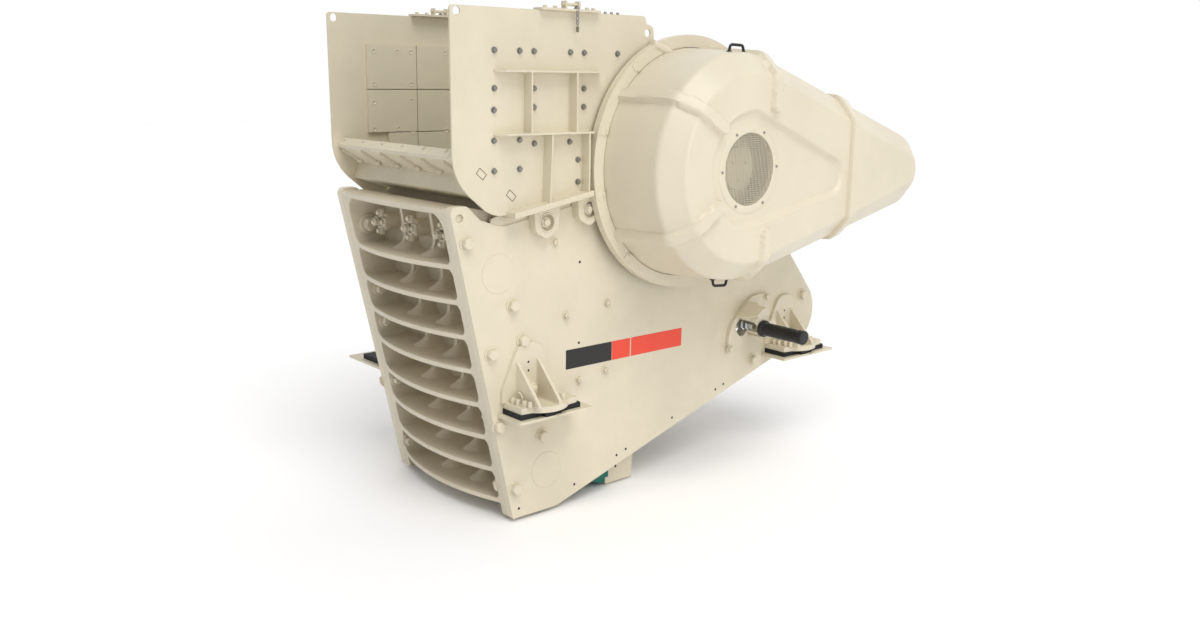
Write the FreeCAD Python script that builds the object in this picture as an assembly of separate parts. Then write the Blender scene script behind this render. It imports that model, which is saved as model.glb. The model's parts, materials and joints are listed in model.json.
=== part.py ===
import FreeCAD, Part
import math
import os

# Jaw crusher with its feed hopper, flywheel guards and bracket feet.
# Millimetres. Working frame: x = 0 on the middle plane, +X towards the belt
# side, +Y from the front frame end to the rear one, +Z up, y = 0 at the side
# plates' front lug hole and z = 0 at their lowest corner. Every part is moved
# at the end so that the origin lies under the front foot on the belt side.

V = FreeCAD.Vector

# ---- driving dimensions -------------------------------------------------
MOUTH_W = 1300.0        # feed opening, side to side
PLATE_T = 64.0          # side plates
CHEEK_T = 66.0          # wear plates lining the side plates
SHAFT_Y = 2050.0        # eccentric shaft's axis
SHAFT_Z = 2580.0
LEAN = 0.2229           # front face: y grows by this for each mm downwards
RUN = 0.3               # running clearance of round fits
FREE = 6.0              # clearance of moving pieces

RIB_PITCH = 260.0       # front casting's ribs, measured up
RIB_LOW = 92.0          # lowest rib's underside
RIB_T = 35.0
RIB_COUNT = 8
RIB_BOW = 105.0         # how far the ribs bulge forwards in the middle
POCKET_D = 330.0        # depth of the front casting's pockets
CREST_Z = 2303.0        # underside of the front casting's top rim
WEB_X = 200.0           # upright webs, each side of the middle
WEB_T = 36.0

MOUTH = MOUTH_W / 2
PITMAN_HALF = MOUTH - 12.0
IN = MOUTH + CHEEK_T            # side plates' inner faces
OUT = IN + PLATE_T              # side plates' outer faces

WHEEL_R = 800.0         # flywheels
WHEEL_X0 = OUT + 205.0
WHEEL_X1 = WHEEL_X0 + 380.0
JOURNAL_R = 150.0       # shaft in the frame bearings and hubs
ECC_R = 200.0           # eccentric middle of the shaft
ECC = 22.0              # its throw
SHAFT_END = WHEEL_X1 + 75.0
HOUSING_R = 330.0       # frame bearing housings
BARREL_R = 400.0        # pitman's head

GUARD_X0 = OUT + 80.0   # guard's back
GUARD_RING_X1 = GUARD_X0 + 60.0
GUARD_RING_R = 974.0
GUARD_R = 880.0         # drum at the ring
GUARD_FACE_X = WHEEL_X1 + 220.0
RECESS_D = 37.0         # dished panel around the window
GUARD_T = 8.0
WINDOW_R = 270.0
TAIL_Y = 4060.0         # centre of the belt guard's tail
TAIL_Z = 2480.0
TAIL_R = 345.0

HOP_X = OUT + 45.0      # hopper sides, outer faces
HOP_T = 14.0
HOP_TOP = 3675.0
STIFF_D = 90.0          # stiffener depth
STIFF_T = 14.0

FOOT_Y = 610.0          # front brackets' middle
FOOT_STEP = 2900.0      # front to rear brackets
FOOT_Z = 880.0          # brackets' undersides
FOOT_T = 45.0
PAD_T = 40.0            # rubber pads
SOLE_T = 20.0           # plates under the pads
WIDE_PAD = 218.0        # how much further out the other side's pads reach
WIDE_SOLE = 340.0       # and its sole plates

ADJ_Y = 2950.0          # adjusting wedges and their cylinders
ADJ_Z = 1180.0
ADJ_A = 41.0            # toggle's slope, degrees
REAR_T = 135.0          # rear end's seat, along the toggle's line
ROD_R = 28.0
BARREL_CYL_R = 55.0

ORIGIN = V(OUT + 130.0, FOOT_Y + 37.0, FOOT_Z - PAD_T - SOLE_T)
nodes = {}


# ---- helpers ------------------------------------------------------------
def keep(name, shape):
    moved = shape.copy()
    moved.translate(-ORIGIN)
    nodes[name] = moved


def box(x0, x1, y0, y1, z0, z1):
    corner = V(min(x0, x1), min(y0, y1), min(z0, z1))
    return Part.makeBox(abs(x1 - x0), abs(y1 - y0), abs(z1 - z0), corner)


def rod(x0, x1, y, z, r):
    return Part.makeCylinder(r, abs(x1 - x0), V(min(x0, x1), y, z), V(1, 0, 0))


def outline(corners, place):
    """Closed wire through (a, b, radius) corners; place maps (a, b) to 3-D."""
    n = len(corners)
    ends = []
    for i in range(n):
        a, b, r = corners[i]
        p = V(a, b, 0)
        u = V(*corners[i - 1][:2], 0) - p
        w = V(*corners[(i + 1) % n][:2], 0) - p
        u.normalize()
        w.normalize()
        if r <= 0:
            ends.append((p, None, p))
            continue
        half = u.getAngle(w) / 2
        reach = r / math.tan(half)
        mid = (u + w).normalize()
        centre = p + mid * (r / math.sin(half))
        ends.append((p + u * reach, centre - mid * r, p + w * reach))
    edges = []
    for i in range(n):
        start, arc, end = ends[i]
        if arc is not None:
            edges.append(Part.Arc(place(start), place(arc), place(end)).toShape())
        nxt = ends[(i + 1) % n][0]
        if (nxt - end).Length > 1e-6:
            edges.append(Part.makeLine(place(end), place(nxt)))
    return Part.Wire(edges)


def side_prism(corners, x0, x1):
    """Solid from a (y, z, radius) outline, between two x planes."""
    lo = min(x0, x1)
    face = Part.Face(outline(corners, lambda p: V(lo, p.x, p.y)))
    return face.extrude(V(abs(x1 - x0), 0, 0))


def plan_prism(corners, z0, z1):
    """Solid from an (x, y, radius) outline, between two heights."""
    face = Part.Face(outline(corners, lambda p: V(p.x, p.y, z0)))
    return face.extrude(V(0, 0, z1 - z0))


def fuse(shapes):
    first = shapes[0]
    return first.fuse(shapes[1:]).removeSplitter() if len(shapes) > 1 else first


def mirror(shape):
    return shape.mirror(V(0, 0, 0), V(1, 0, 0))


def pair(name, shape):
    """The same part on the belt side and, mirrored, on the other one."""
    keep(name + "_right", shape)
    keep(name + "_left", mirror(shape))


def front_y(z):
    """y of the leaning front plane at height z."""
    return 445.0 - LEAN * z


# ---- side plates --------------------------------------------------------
REAR_CORNERS = [(860, 0, 300), (4132, 1008, 300), (3580, 1660, 60)]
SIDE = [(front_y(0), 0, 12)] + REAR_CORNERS + [
    (SHAFT_Y + 510, SHAFT_Z + 280, 340), (SHAFT_Y + 330, SHAFT_Z + 585, 240),
    (SHAFT_Y - 290, SHAFT_Z + 585, 260), (SHAFT_Y - 600, SHAFT_Z + 140, 240),
    (1160, 2330, 200), (350, 2200, 180), (170, 2260, 60), (60, 2365, 50),
    (front_y(2365) - 2, 2365, 45)]
plate = side_prism(SIDE, IN, OUT)
plate = plate.cut(rod(IN - 5, OUT + 5, SHAFT_Y, SHAFT_Z, HOUSING_R - 40))
plate = plate.cut(rod(IN - 5, OUT + 5, 0, 2284, 30))


def adj(t, n):
    """Point on the toggle's line: t up along it, n square to it."""
    a = math.radians(ADJ_A)
    y = ADJ_Y + t * math.cos(a) - n * math.sin(a)
    z = ADJ_Z + t * math.sin(a) + n * math.cos(a)
    return y, z


def adj_rect(t0, t1, n0, n1, r=0.0):
    return [adj(t, n) + (r,) for t, n in ((t0, n0), (t1, n0), (t1, n1), (t0, n1))]


slot = side_prism(adj_rect(-150, 120, -75, 75, 60), IN - 5, OUT + 50)
plate = plate.cut(slot)
pair("side_plate", plate)

# ---- front frame end ----------------------------------------------------
SEAT = [(330, 2235), (1075, 110)]       # where the fixed die rests


def seat_y(z):
    (y0, z0), (y1, z1) = SEAT
    return y0 + (y1 - y0) * (z0 - z) / (z0 - z1)


block = side_prism([
    (front_y(0), 0, 10), (1000, 0, 40), (seat_y(110), 110, 0),
    (seat_y(2235), 2235, 0), (seat_y(2235) - 20, 2300, 30),
    (120, 2345, 60), (front_y(2345), 2345, 30)], -IN, IN)


def bowed_rib(z, t, reach):
    """Level rib whose front edge bulges forwards between the flanges."""
    y = front_y(z)
    wide = MOUTH - 8
    arc = Part.Arc(V(-wide, y, z), V(0, y - reach, z), V(wide, y, z)).toShape()
    back = [V(wide, y, z), V(wide, y + 90, z), V(-wide, y + 90, z), V(-wide, y, z)]
    edges = [arc] + [Part.makeLine(a, b) for a, b in zip(back, back[1:])]
    return Part.Face(Part.Wire(edges)).extrude(V(0, 0, t))


def pocket(z0, z1, top_depth, top_r=52.0):
    """Opening between two ribs, with rounded corners."""
    r = 52.0
    ring = [(-MOUTH, z0, r), (MOUTH, z0, r), (MOUTH, z1, top_r), (-MOUTH, z1, top_r)]
    face = Part.Face(outline(ring, lambda p: V(p.x, front_y(z1) - 60, p.y)))
    return face.extrude(V(0, 60 + top_depth, 0))


ribs = []
pockets = []
for i in range(RIB_COUNT):
    z0 = RIB_LOW + i * RIB_PITCH
    ribs.append(bowed_rib(z0, RIB_T, RIB_BOW))
    if i < RIB_COUNT - 1:
        pockets.append(pocket(z0 + RIB_T, z0 + RIB_PITCH, POCKET_D))
top_z = RIB_LOW + (RIB_COUNT - 1) * RIB_PITCH + RIB_T
pockets.append(pocket(top_z, CREST_Z, POCKET_D, 120.0))
pockets.append(box(-MOUTH, MOUTH, front_y(0) - 60, front_y(0) + 380, -5, RIB_LOW))
ribs.append(bowed_rib(CREST_Z, 42.0, 45.0))
floors = [RIB_LOW + i * RIB_PITCH + RIB_T for i in range(RIB_COUNT)]
ceilings = [z - RIB_T for z in floors[1:]] + [CREST_Z]


def web_profile(z0, z1):
    """Upright web in one pocket; its front edge sweeps back as it rises."""
    back = front_y(z1) + POCKET_D + 5
    return [(front_y(z0) + 45, z0 - 4, 0), (front_y(z0) + 175, z0 - 3, 110),
            (front_y(z1) + 195, z1 + 4, 0), (back, z1 + 4, 0), (back, z0 - 4, 0)]


webs = []
for sx in (-1, 1):
    for z0, z1 in zip(floors, ceilings):
        webs.append(side_prism(web_profile(z0, z1), sx * WEB_X - WEB_T / 2,
                               sx * WEB_X + WEB_T / 2))
casting = block.cut(pockets)
casting = casting.fuse(ribs + webs)
casting = casting.removeSplitter()
keep("front_frame_end", casting)

# ---- fixed jaw die and its clamps ---------------------------------------
DIE_T = 95.0
die = side_prism([
    (seat_y(2235), 2235, 0), (seat_y(110), 110, 0),
    (seat_y(110) + DIE_T, 125, 10), (seat_y(2235) + DIE_T, 2215, 10)],
    -MOUTH + 1, MOUTH - 1)
keep("fixed_jaw_die", die)

CLAMP_X = MOUTH - 225.0
clamps = []
for k in (-1, 0, 1):
    x = k * CLAMP_X
    y_back = front_y(CREST_Z) + POCKET_D
    z = 2125.0
    clamps.append(Part.makeCylinder(62, 150, V(x, y_back - 150, z), V(0, 1, 0)))
    clamps.append(box(x - 85, x + 85, y_back - 165, y_back - 145, z - 70, z + 70))
    clamps.append(Part.makeCylinder(24, 80, V(x, y_back - 240, z), V(0, 1, 0)))
keep("jaw_clamps", fuse(clamps))

# ---- cheek plates -------------------------------------------------------
cheek = side_prism([
    (seat_y(2200) + DIE_T + 10, 2190, 30), (seat_y(250) + DIE_T + 10, 260, 20),
    (1300, 260, 20), (1300, 2190, 30)], MOUTH, IN)
pair("cheek_plate", cheek)

# ---- rear frame end -----------------------------------------------------
rear = side_prism([
    adj(REAR_T, -330) + (20,), (3560, 900, 60), (3770, 1130, 150), (3700, 1400, 60),
    (3420, 1690, 60), adj(REAR_T, 330) + (20,)], -IN, IN)
hollows = []
for k in range(5):
    x0 = -IN + 60 + k * (2 * IN - 324) / 4
    hollows.append(box(x0, x0 + 204, 3440, 3900, 1020, 1300))
rear = rear.cut(hollows)
keep("rear_frame_end", rear)

# ---- toggle beam, wedges and toggle plate -------------------------------
BEAM_T0, BEAM_T1 = -330.0, -95.0
WEDGE_H = 140.0         # half height of the wedge pack
WEDGE_HALF = IN - 126.0 # half of its length
TOGGLE_T0 = -1310.0     # toggle's lower end, along its line
TOGGLE_THICK = 110.0
TOGGLE_HALF = MOUTH - 130.0     # half of its width
SEAT_R = 60.0

beam = side_prism(adj_rect(BEAM_T0, BEAM_T1, -170, 170, 20), -IN, IN)
seat_hole_y, seat_hole_z = adj(BEAM_T0, 0)
beam = beam.cut(rod(-IN - 5, IN + 5, seat_hole_y, seat_hole_z, SEAT_R + 0.3))
keep("toggle_beam", beam)


def wedge(t_side):
    """Sliding wedge: its slanted side is where the two wedges meet."""
    near, far = (BEAM_T1 + 0.5, REAR_T - 0.3)
    mid0, mid1 = 12.0, 32.0
    w = WEDGE_HALF
    corners = []
    if t_side == "front":
        profile = [(-w, near), (w, near), (w, mid1 - 3), (-w, mid0 - 3)]
    else:
        profile = [(-w, mid0 + 3), (w, mid1 + 3), (w, far), (-w, far)]
    for x, t in profile:
        y, z = adj(t, -WEDGE_H)
        corners.append(V(x, y, z))
    face = Part.Face(Part.makePolygon(corners + [corners[0]]))
    a = math.radians(ADJ_A)
    up = V(0, -math.sin(a), math.cos(a)) * (2 * WEDGE_H)
    return face.extrude(up)


ROD_T = {"front": -42.0, "rear": 84.0}
for t_side, sign, side in (("front", 1, "right"), ("rear", -1, "left")):
    y, z = adj(ROD_T[t_side], 0)
    keep("wedge_" + side, wedge(t_side))
    keep("wedge_rod_" + side, rod(sign * WEDGE_HALF, sign * (OUT + 150), y, z, ROD_R))

toggle_mid = side_prism(
    adj_rect(TOGGLE_T0 + 30, BEAM_T0 - 30, -TOGGLE_THICK / 2, TOGGLE_THICK / 2),
    -TOGGLE_HALF, TOGGLE_HALF)
low_y, low_z = adj(TOGGLE_T0, 0)
toggle = toggle_mid.fuse([
    rod(-TOGGLE_HALF, TOGGLE_HALF, seat_hole_y, seat_hole_z, SEAT_R),
    rod(-TOGGLE_HALF, TOGGLE_HALF, low_y, low_z, SEAT_R)])
keep("toggle_plate", toggle)

# tension rods above the toggle, with their spring pots on the rear end
ROD_N = 255.0


def along(t0, t1, n, x, r):
    """Round bar along the toggle's line."""
    (y0, z0), (y1, z1) = adj(t0, n), adj(t1, n)
    d = V(0, y1 - y0, z1 - z0)
    return Part.makeCylinder(r, d.Length, V(x, y0, z0), d)


tension = []
for sx in (-1, 1):
    x = sx * (PITMAN_HALF - 218)
    tension.append(along(-1000, -60, ROD_N, x, 26))
    tension.append(along(-100, REAR_T - 0.3, ROD_N, x, 75))
    tension.append(along(-1030, -960, ROD_N, x, 55))
keep("tension_rods", fuse(tension))

# ---- pitman and moving jaw die ------------------------------------------
DIE_BACK = 1522.0
body = side_prism([
    (1489, -22, 8), (1780, -22, 8), (1790, 190, 60), (1985, 250, 20),
    (2050, 330, 20), (1930, 480, 60), (2010, 900, 400), (2440, 2440, 0),
    (SHAFT_Y, SHAFT_Z, 0), (1660, 2480, 0), (DIE_BACK, 2330, 60),
    (DIE_BACK, 36, 0), (1489, 36, 0)], -PITMAN_HALF, PITMAN_HALF)
head = rod(-PITMAN_HALF, PITMAN_HALF, SHAFT_Y, SHAFT_Z, BARREL_R)
pitman = body.fuse(head)
hollows = []
for k in range(4):
    x0 = -PITMAN_HALF + 45 + k * (2 * PITMAN_HALF - 330) / 3
    hollows.append(side_prism([
        (2000, 560, 30), (2160, 1000, 30), (2430, 2060, 40), (2150, 2060, 60),
        (1780, 620, 60)], x0, x0 + 240))
pitman = pitman.cut(hollows)
bore = rod(-PITMAN_HALF - 5, PITMAN_HALF + 5, SHAFT_Y, SHAFT_Z, ECC_R + ECC + RUN)
pitman = pitman.cut(bore)
groove = rod(-PITMAN_HALF - 5, PITMAN_HALF + 5, low_y, low_z, SEAT_R + FREE)
way = side_prism(adj_rect(TOGGLE_T0, TOGGLE_T0 + 200, -SEAT_R - FREE, SEAT_R + FREE),
                 -PITMAN_HALF - 5, PITMAN_HALF + 5)
clear = box(-PITMAN_HALF - 5, PITMAN_HALF + 5, low_y, low_y + 250,
            low_z - SEAT_R - FREE, low_z + SEAT_R + FREE + 60)
pitman = pitman.cut([groove, way, clear])
keep("pitman", pitman)

moving = side_prism([
    (1350, 30, 6), (1480, -12, 0), (1486, 36, 0), (DIE_BACK, 36, 0),
    (DIE_BACK, 2230, 0), (1400, 2230, 15)], -PITMAN_HALF + 2, PITMAN_HALF - 2)
keep("moving_jaw_die", moving)
wedge_bar = side_prism([
    (DIE_BACK, 2232, 0), (DIE_BACK, 2310, 0), (1450, 2290, 12), (1410, 2232, 0)],
    -PITMAN_HALF + 2, PITMAN_HALF - 2)
keep("die_clamping_wedge", wedge_bar)

# ---- shaft, flywheels and frame bearings --------------------------------
shaft = rod(-SHAFT_END, SHAFT_END, SHAFT_Y, SHAFT_Z, JOURNAL_R)
middle = rod(78 - PITMAN_HALF, PITMAN_HALF - 78, SHAFT_Y, SHAFT_Z + ECC, ECC_R)
shaft = shaft.fuse(middle)
keep("eccentric_shaft", shaft)

HUB_R = 235.0
RIM_T = 120.0
WEB = 90.0
GROOVE_PITCH = 37.0
mid = (WHEEL_X0 + WHEEL_X1) / 2


def flywheel(grooved):
    wheel = rod(WHEEL_X0, WHEEL_X1, SHAFT_Y, SHAFT_Z, WHEEL_R)
    inner = WHEEL_R - RIM_T
    for x0, x1 in ((WHEEL_X0 - 5, mid - WEB / 2), (mid + WEB / 2, WHEEL_X1 + 5)):
        hollow = rod(x0, x1, SHAFT_Y, SHAFT_Z, inner)
        wheel = wheel.cut(hollow.cut(rod(x0, x1, SHAFT_Y, SHAFT_Z, HUB_R)))
    holes = []
    for k in range(6):
        t = math.radians(60 * k + 30)
        y = SHAFT_Y + 450 * math.cos(t)
        z = SHAFT_Z + 450 * math.sin(t)
        holes.append(rod(mid - WEB, mid + WEB, y, z, 120))
    wheel = wheel.cut(holes)
    wheel = wheel.cut(rod(WHEEL_X0 - 5, WHEEL_X1 + 5, SHAFT_Y, SHAFT_Z, JOURNAL_R))
    if grooved:
        rings = []
        for k in range(9):
            x = WHEEL_X0 + 42 + k * GROOVE_PITCH
            ring = [V(x - 11, 0, WHEEL_R + 1), V(x + 11, 0, WHEEL_R + 1),
                    V(x + 6, 0, WHEEL_R - 22), V(x - 6, 0, WHEEL_R - 22)]
            face = Part.Face(Part.makePolygon(ring + [ring[0]]))
            turned = face.revolve(V(0, 0, 0), V(1, 0, 0), 360)
            turned.translate(V(0, SHAFT_Y, SHAFT_Z))
            rings.append(turned)
        wheel = wheel.cut(rings)
    return wheel


keep("flywheel_right", flywheel(True))
keep("flywheel_left", mirror(flywheel(False)))

housing = rod(IN - 46, OUT + 60, SHAFT_Y, SHAFT_Z, HOUSING_R - 40)
housing = housing.fuse(rod(OUT, OUT + 60, SHAFT_Y, SHAFT_Z, HOUSING_R + 60))
housing = housing.cut(rod(IN - 90, OUT + 80, SHAFT_Y, SHAFT_Z, JOURNAL_R + RUN))
pair("bearing_housing", housing)

# ---- guards -------------------------------------------------------------
def teardrop(x, r, tail_r, dy=0.0):
    """Circle about the shaft with a tangent tail about (TAIL_Y + dy, TAIL_Z)."""
    ty, tz = TAIL_Y + dy, TAIL_Z
    d = math.hypot(ty - SHAFT_Y, tz - SHAFT_Z)
    base = math.atan2(tz - SHAFT_Z, ty - SHAFT_Y)
    open_a = math.acos((r - tail_r) / d)

    def at(cy, cz, rad, ang):
        return V(x, cy + rad * math.cos(ang), cz + rad * math.sin(ang))

    top, low = base + open_a, base - open_a
    a0, a1 = at(SHAFT_Y, SHAFT_Z, r, top), at(SHAFT_Y, SHAFT_Z, r, low)
    back = at(SHAFT_Y, SHAFT_Z, r, base + math.pi)
    b0, b1 = at(ty, tz, tail_r, top), at(ty, tz, tail_r, low)
    tip = at(ty, tz, tail_r, base)
    return Part.Wire([
        Part.Arc(a0, back, a1).toShape(), Part.makeLine(a1, b1),
        Part.Arc(b1, tip, b0).toShape(), Part.makeLine(b0, a0)])


def round_wire(x, r):
    return Part.Wire([Part.makeCircle(r, V(x, SHAFT_Y, SHAFT_Z), V(1, 0, 0))])


PROFILE = ((GUARD_X0 + 12, GUARD_R, 0.0),
           (GUARD_FACE_X - 155, GUARD_R - 35, -35.0),
           (GUARD_FACE_X - 40, GUARD_R - 145, -160.0),
           (GUARD_FACE_X, GUARD_R - 180, -225.0))


def shell(with_tail):
    """Hollow guard: a drum, tapered and chamfered towards its face."""
    skins = []
    for grow in (0.0, GUARD_T):
        wires = []
        for i, (x, r, dt) in enumerate(PROFILE):
            xx = x - (grow if i else 5.0 * (grow > 0))
            if with_tail:
                wires.append(teardrop(xx, r - grow, TAIL_R + dt - grow))
            else:
                wires.append(round_wire(xx, r - grow))
        skins.append(Part.makeLoft(wires, True, True))
    return skins[0], skins[1]


def guard_cover(with_tail):
    outer, inner = shell(with_tail)
    recess_r, depth = 390.0, RECESS_D
    if with_tail:
        cut_wires = [teardrop(GUARD_FACE_X + 1, recess_r + 22, 150, 3000 - TAIL_Y),
                     teardrop(GUARD_FACE_X - depth, recess_r, 128, 3000 - TAIL_Y)]
        under = [teardrop(GUARD_FACE_X - 4, recess_r + 34, 162, 3000 - TAIL_Y),
                 teardrop(GUARD_FACE_X - depth - GUARD_T, recess_r + 8, 136, 3000 - TAIL_Y)]
    else:
        cut_wires = [round_wire(GUARD_FACE_X + 1, recess_r + 22),
                     round_wire(GUARD_FACE_X - depth, recess_r)]
        under = [round_wire(GUARD_FACE_X - 4, recess_r + 34),
                 round_wire(GUARD_FACE_X - depth - GUARD_T, recess_r + 8)]
    dish = Part.makeLoft(cut_wires, True, True)
    pan = Part.makeLoft(under, True, True)
    cover = outer.cut(inner.cut(pan)).cut(dish)
    window = rod(GUARD_FACE_X - 100, GUARD_FACE_X + 5, SHAFT_Y, SHAFT_Z, WINDOW_R)
    return cover.cut(window)


keep("belt_guard_cover", guard_cover(True))
keep("round_guard_cover", mirror(guard_cover(False)))


def guard_back(with_tail):
    """Back plate of the guard with the rim that carries the cover."""
    x0 = GUARD_X0
    disc = rod(x0, x0 + 12, SHAFT_Y, SHAFT_Z, GUARD_RING_R)
    rim = rod(x0, GUARD_RING_X1, SHAFT_Y, SHAFT_Z, GUARD_RING_R)
    rim = rim.cut(rod(x0 - 5, GUARD_RING_X1 + 5, SHAFT_Y, SHAFT_Z, GUARD_R + 2))
    parts = [rim]
    if with_tail:
        face = Part.Face(teardrop(x0, GUARD_R, TAIL_R))
        parts.append(face.extrude(V(12, 0, 0)))
        seam = teardrop(x0, GUARD_R + 26, TAIL_R + 12)
        lip = Part.Face(seam).extrude(V(GUARD_RING_X1 - x0 - 25, 0, 0))
        hole = Part.Face(teardrop(x0 - 5, GUARD_R + 2, TAIL_R + 2))
        parts.append(lip.cut(hole.extrude(V(100, 0, 0))))
    back = disc.fuse(parts)
    if with_tail:
        rest = Part.Face(teardrop(x0 + 12, GUARD_R + 2, TAIL_R + 2))
        back = back.cut(rest.extrude(V(200, 0, 0)))
    back = back.cut(rod(x0 - 5, x0 + 20, SHAFT_Y, SHAFT_Z, HUB_R + 60))
    return back.removeSplitter()


keep("belt_guard_back", guard_back(True))
keep("round_guard_back", mirror(guard_back(False)))

posts = []
for k in range(4):
    t = math.radians(45 + 90 * k)
    y = SHAFT_Y + 480 * math.cos(t)
    z = SHAFT_Z + 480 * math.sin(t)
    posts.append(rod(OUT, GUARD_X0, y, z, 26))
pair("guard_posts", Part.makeCompound(posts))

mesh_x = GUARD_FACE_X - RECESS_D
mesh = rod(mesh_x, mesh_x + 6, SHAFT_Y, SHAFT_Z, WINDOW_R + 30)
pair("guard_window", mesh)

# ---- feed hopper --------------------------------------------------------
HOP_IN = HOP_X - HOP_T
LIP_Z = 2741.0
LINER_T = 28.0
SIDE_WALL = [
    (-90, HOP_TOP, 25), (-80, 2540, 380), (270, 2255, 260), (360, 2282, 0),
    (1150, 2412, 40), (1220, 2700, 80), (1560, 3120, 160), (1655, 3440, 60),
    (1735, 3500, 45), (1730, 3600, 40), (1655, 3620, 20), (1640, HOP_TOP, 30)]
wall = side_prism(SIDE_WALL, HOP_IN, HOP_X)
wall = wall.cut(rod(HOP_IN - 5, HOP_X + 5, -36, 3637, 30))
wall = wall.cut(rod(HOP_IN - 5, HOP_X + 5, 1670, 3555, 30))
pair("hopper_side", wall)


def guard_edge(z0, z1):
    """Foremost y of the guards' rims between two heights."""
    near = sorted((z0, SHAFT_Z, z1))[1]
    return SHAFT_Y - math.sqrt(GUARD_RING_R ** 2 - (near - SHAFT_Z) ** 2)


def flange_z(y):
    """Underside of the sloping flange along the hopper's foot."""
    return 2282 + (y - 360) * 130 / 790


def shelf(y0, y1, z, taper):
    """Level stiffener; its front end tapers to the wall."""
    ring = [(HOP_X, y0, 0), (HOP_X + STIFF_D, y0 + taper, 12),
            (HOP_X + STIFF_D, y1 - taper / 3, 12), (HOP_X, y1, 0)]
    return plan_prism(ring, z - STIFF_T / 2, z + STIFF_T / 2)


def upright(y, z0, z1):
    return box(HOP_X, HOP_X + STIFF_D, y - STIFF_T / 2, y + STIFF_T / 2, z0, z1)


frame_bars = [
    shelf(250, guard_edge(3256, 3270) - 155, 3263, 55),
    shelf(250, guard_edge(2834, 2848) - FREE, 2841, 55),
    upright(515, 2846, 3258), upright(920, 2846, 3258),
    upright(SHAFT_Y - GUARD_RING_R - 36, flange_z(1040) + 4, 2836)]
low = side_prism([(693, 2836, 0), (707, 2836, 0), (687, flange_z(687) + 5, 0),
                  (673, flange_z(673) + 5, 0)], HOP_X, HOP_X + STIFF_D)
frame_bars.append(low)
flange_end = guard_edge(2282, 2460) - FREE
bar_end = max(flange_end, 1218.0)
flange = side_prism([(360, flange_z(360), 0), (flange_end, flange_z(flange_end), 0),
                     (flange_end, flange_z(flange_end) + 26, 0),
                     (360, flange_z(360) + 26, 0)], HOP_X, HOP_X + STIFF_D + 12)
frame_bars.append(flange)
pair("hopper_stiffeners", fuse(frame_bars))

WALL_JOIN = SHAFT_Z + 440.0     # where the rear wall narrows between the plates
join_y = 1470 + (WALL_JOIN - 3020) * 128 / 620
rear_wall = side_prism([
    (1612, 3640, 0), (1598, 3640, 0), (join_y, WALL_JOIN, 0),
    (join_y + 14, WALL_JOIN, 0)], -HOP_IN, HOP_IN)
rear_low = side_prism([
    (join_y + 14, WALL_JOIN + 6, 0), (join_y, WALL_JOIN, 0), (1395, 2395, 0),
    (1409, 2395, 0)], -IN + 4, IN - 4)
keep("hopper_rear_wall", rear_wall.fuse(rear_low).removeSplitter())

chute = side_prism([
    (25, LIP_Z, 0), (384, 2372, 0), (384, 2340, 0), (112, 2424, 0), (94, 2440, 0),
    (140, 2548, 0), (-14, 2664, 0), (-32, 2670, 0), (-32, 2690, 0)],
    -HOP_IN, HOP_IN)
keep("hopper_chute", chute)

liners = []
ROWS = ((flange_z(bar_end) + 17, 2770), (2776, 3104), (3110, 3450))
COLS = ((225, 664), (670, 1108), (1114, 1380))
for sx in (-1, 1):
    for z0, z1 in ROWS:
        for y0, y1 in COLS:
            front = 400 if z0 < LIP_Z else y0
            liners.append(box(sx * (HOP_IN - LINER_T), sx * HOP_IN, max(y0, front), y1,
                              z0, z1))
keep("hopper_liners", Part.makeCompound(liners))

LUGS = ((700, 2212), (1100, 2278))
CAP_T = 14.0
lugs = []
for y, z in LUGS:
    lug = side_prism([
        (y - 105, z - 60, 50), (y + 5, z - 125, 50), (y + 105, z - 40, 50),
        (y + 118, flange_z(y + 118) - CAP_T, 0), (y - 118, flange_z(y - 118) - CAP_T, 0)],
        OUT, GUARD_X0 - FREE)
    lug = lug.cut(rod(HOP_X - 5, HOP_X + 45, y, z, 62))
    lugs.append(lug)
cap_bar = side_prism([
    (360, flange_z(360) - CAP_T, 0), (flange_end, flange_z(flange_end) - CAP_T, 0),
    (flange_end, flange_z(flange_end), 0), (360, flange_z(360), 0)],
    OUT, HOP_X + STIFF_D + 12)
tail_bar = side_prism([
    (360, flange_z(360) - CAP_T, 0), (bar_end, flange_z(bar_end) - CAP_T, 0),
    (bar_end, flange_z(bar_end), 0), (360, flange_z(360), 0)],
    OUT, GUARD_X0 - FREE)
lugs.append(tail_bar)
lugs.append(cap_bar)
pair("hopper_foot", fuse(lugs))

top_plate = plan_prism([(HOP_IN - 70, 640, 30), (HOP_X + 45, 640, 30),
                        (HOP_X + 45, 1180, 30), (HOP_IN - 70, 1180, 30)],
                       HOP_TOP, HOP_TOP + 16)
pair("hopper_top_plate", top_plate)

# ---- bracket feet -------------------------------------------------------
BRACKET_PLATE = [(-245, 0, 0), (245, 0, 0), (245, 90, 60), (92, 418, 120),
                 (-92, 418, 120), (-245, 90, 60)]
GUSSET_T = 26.0
GUSSET_Y = 95.0         # gussets, each side of the bracket's middle
PAD_X = OUT + 222.0
FOOT_BULGE = OUT + 298.0


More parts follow.
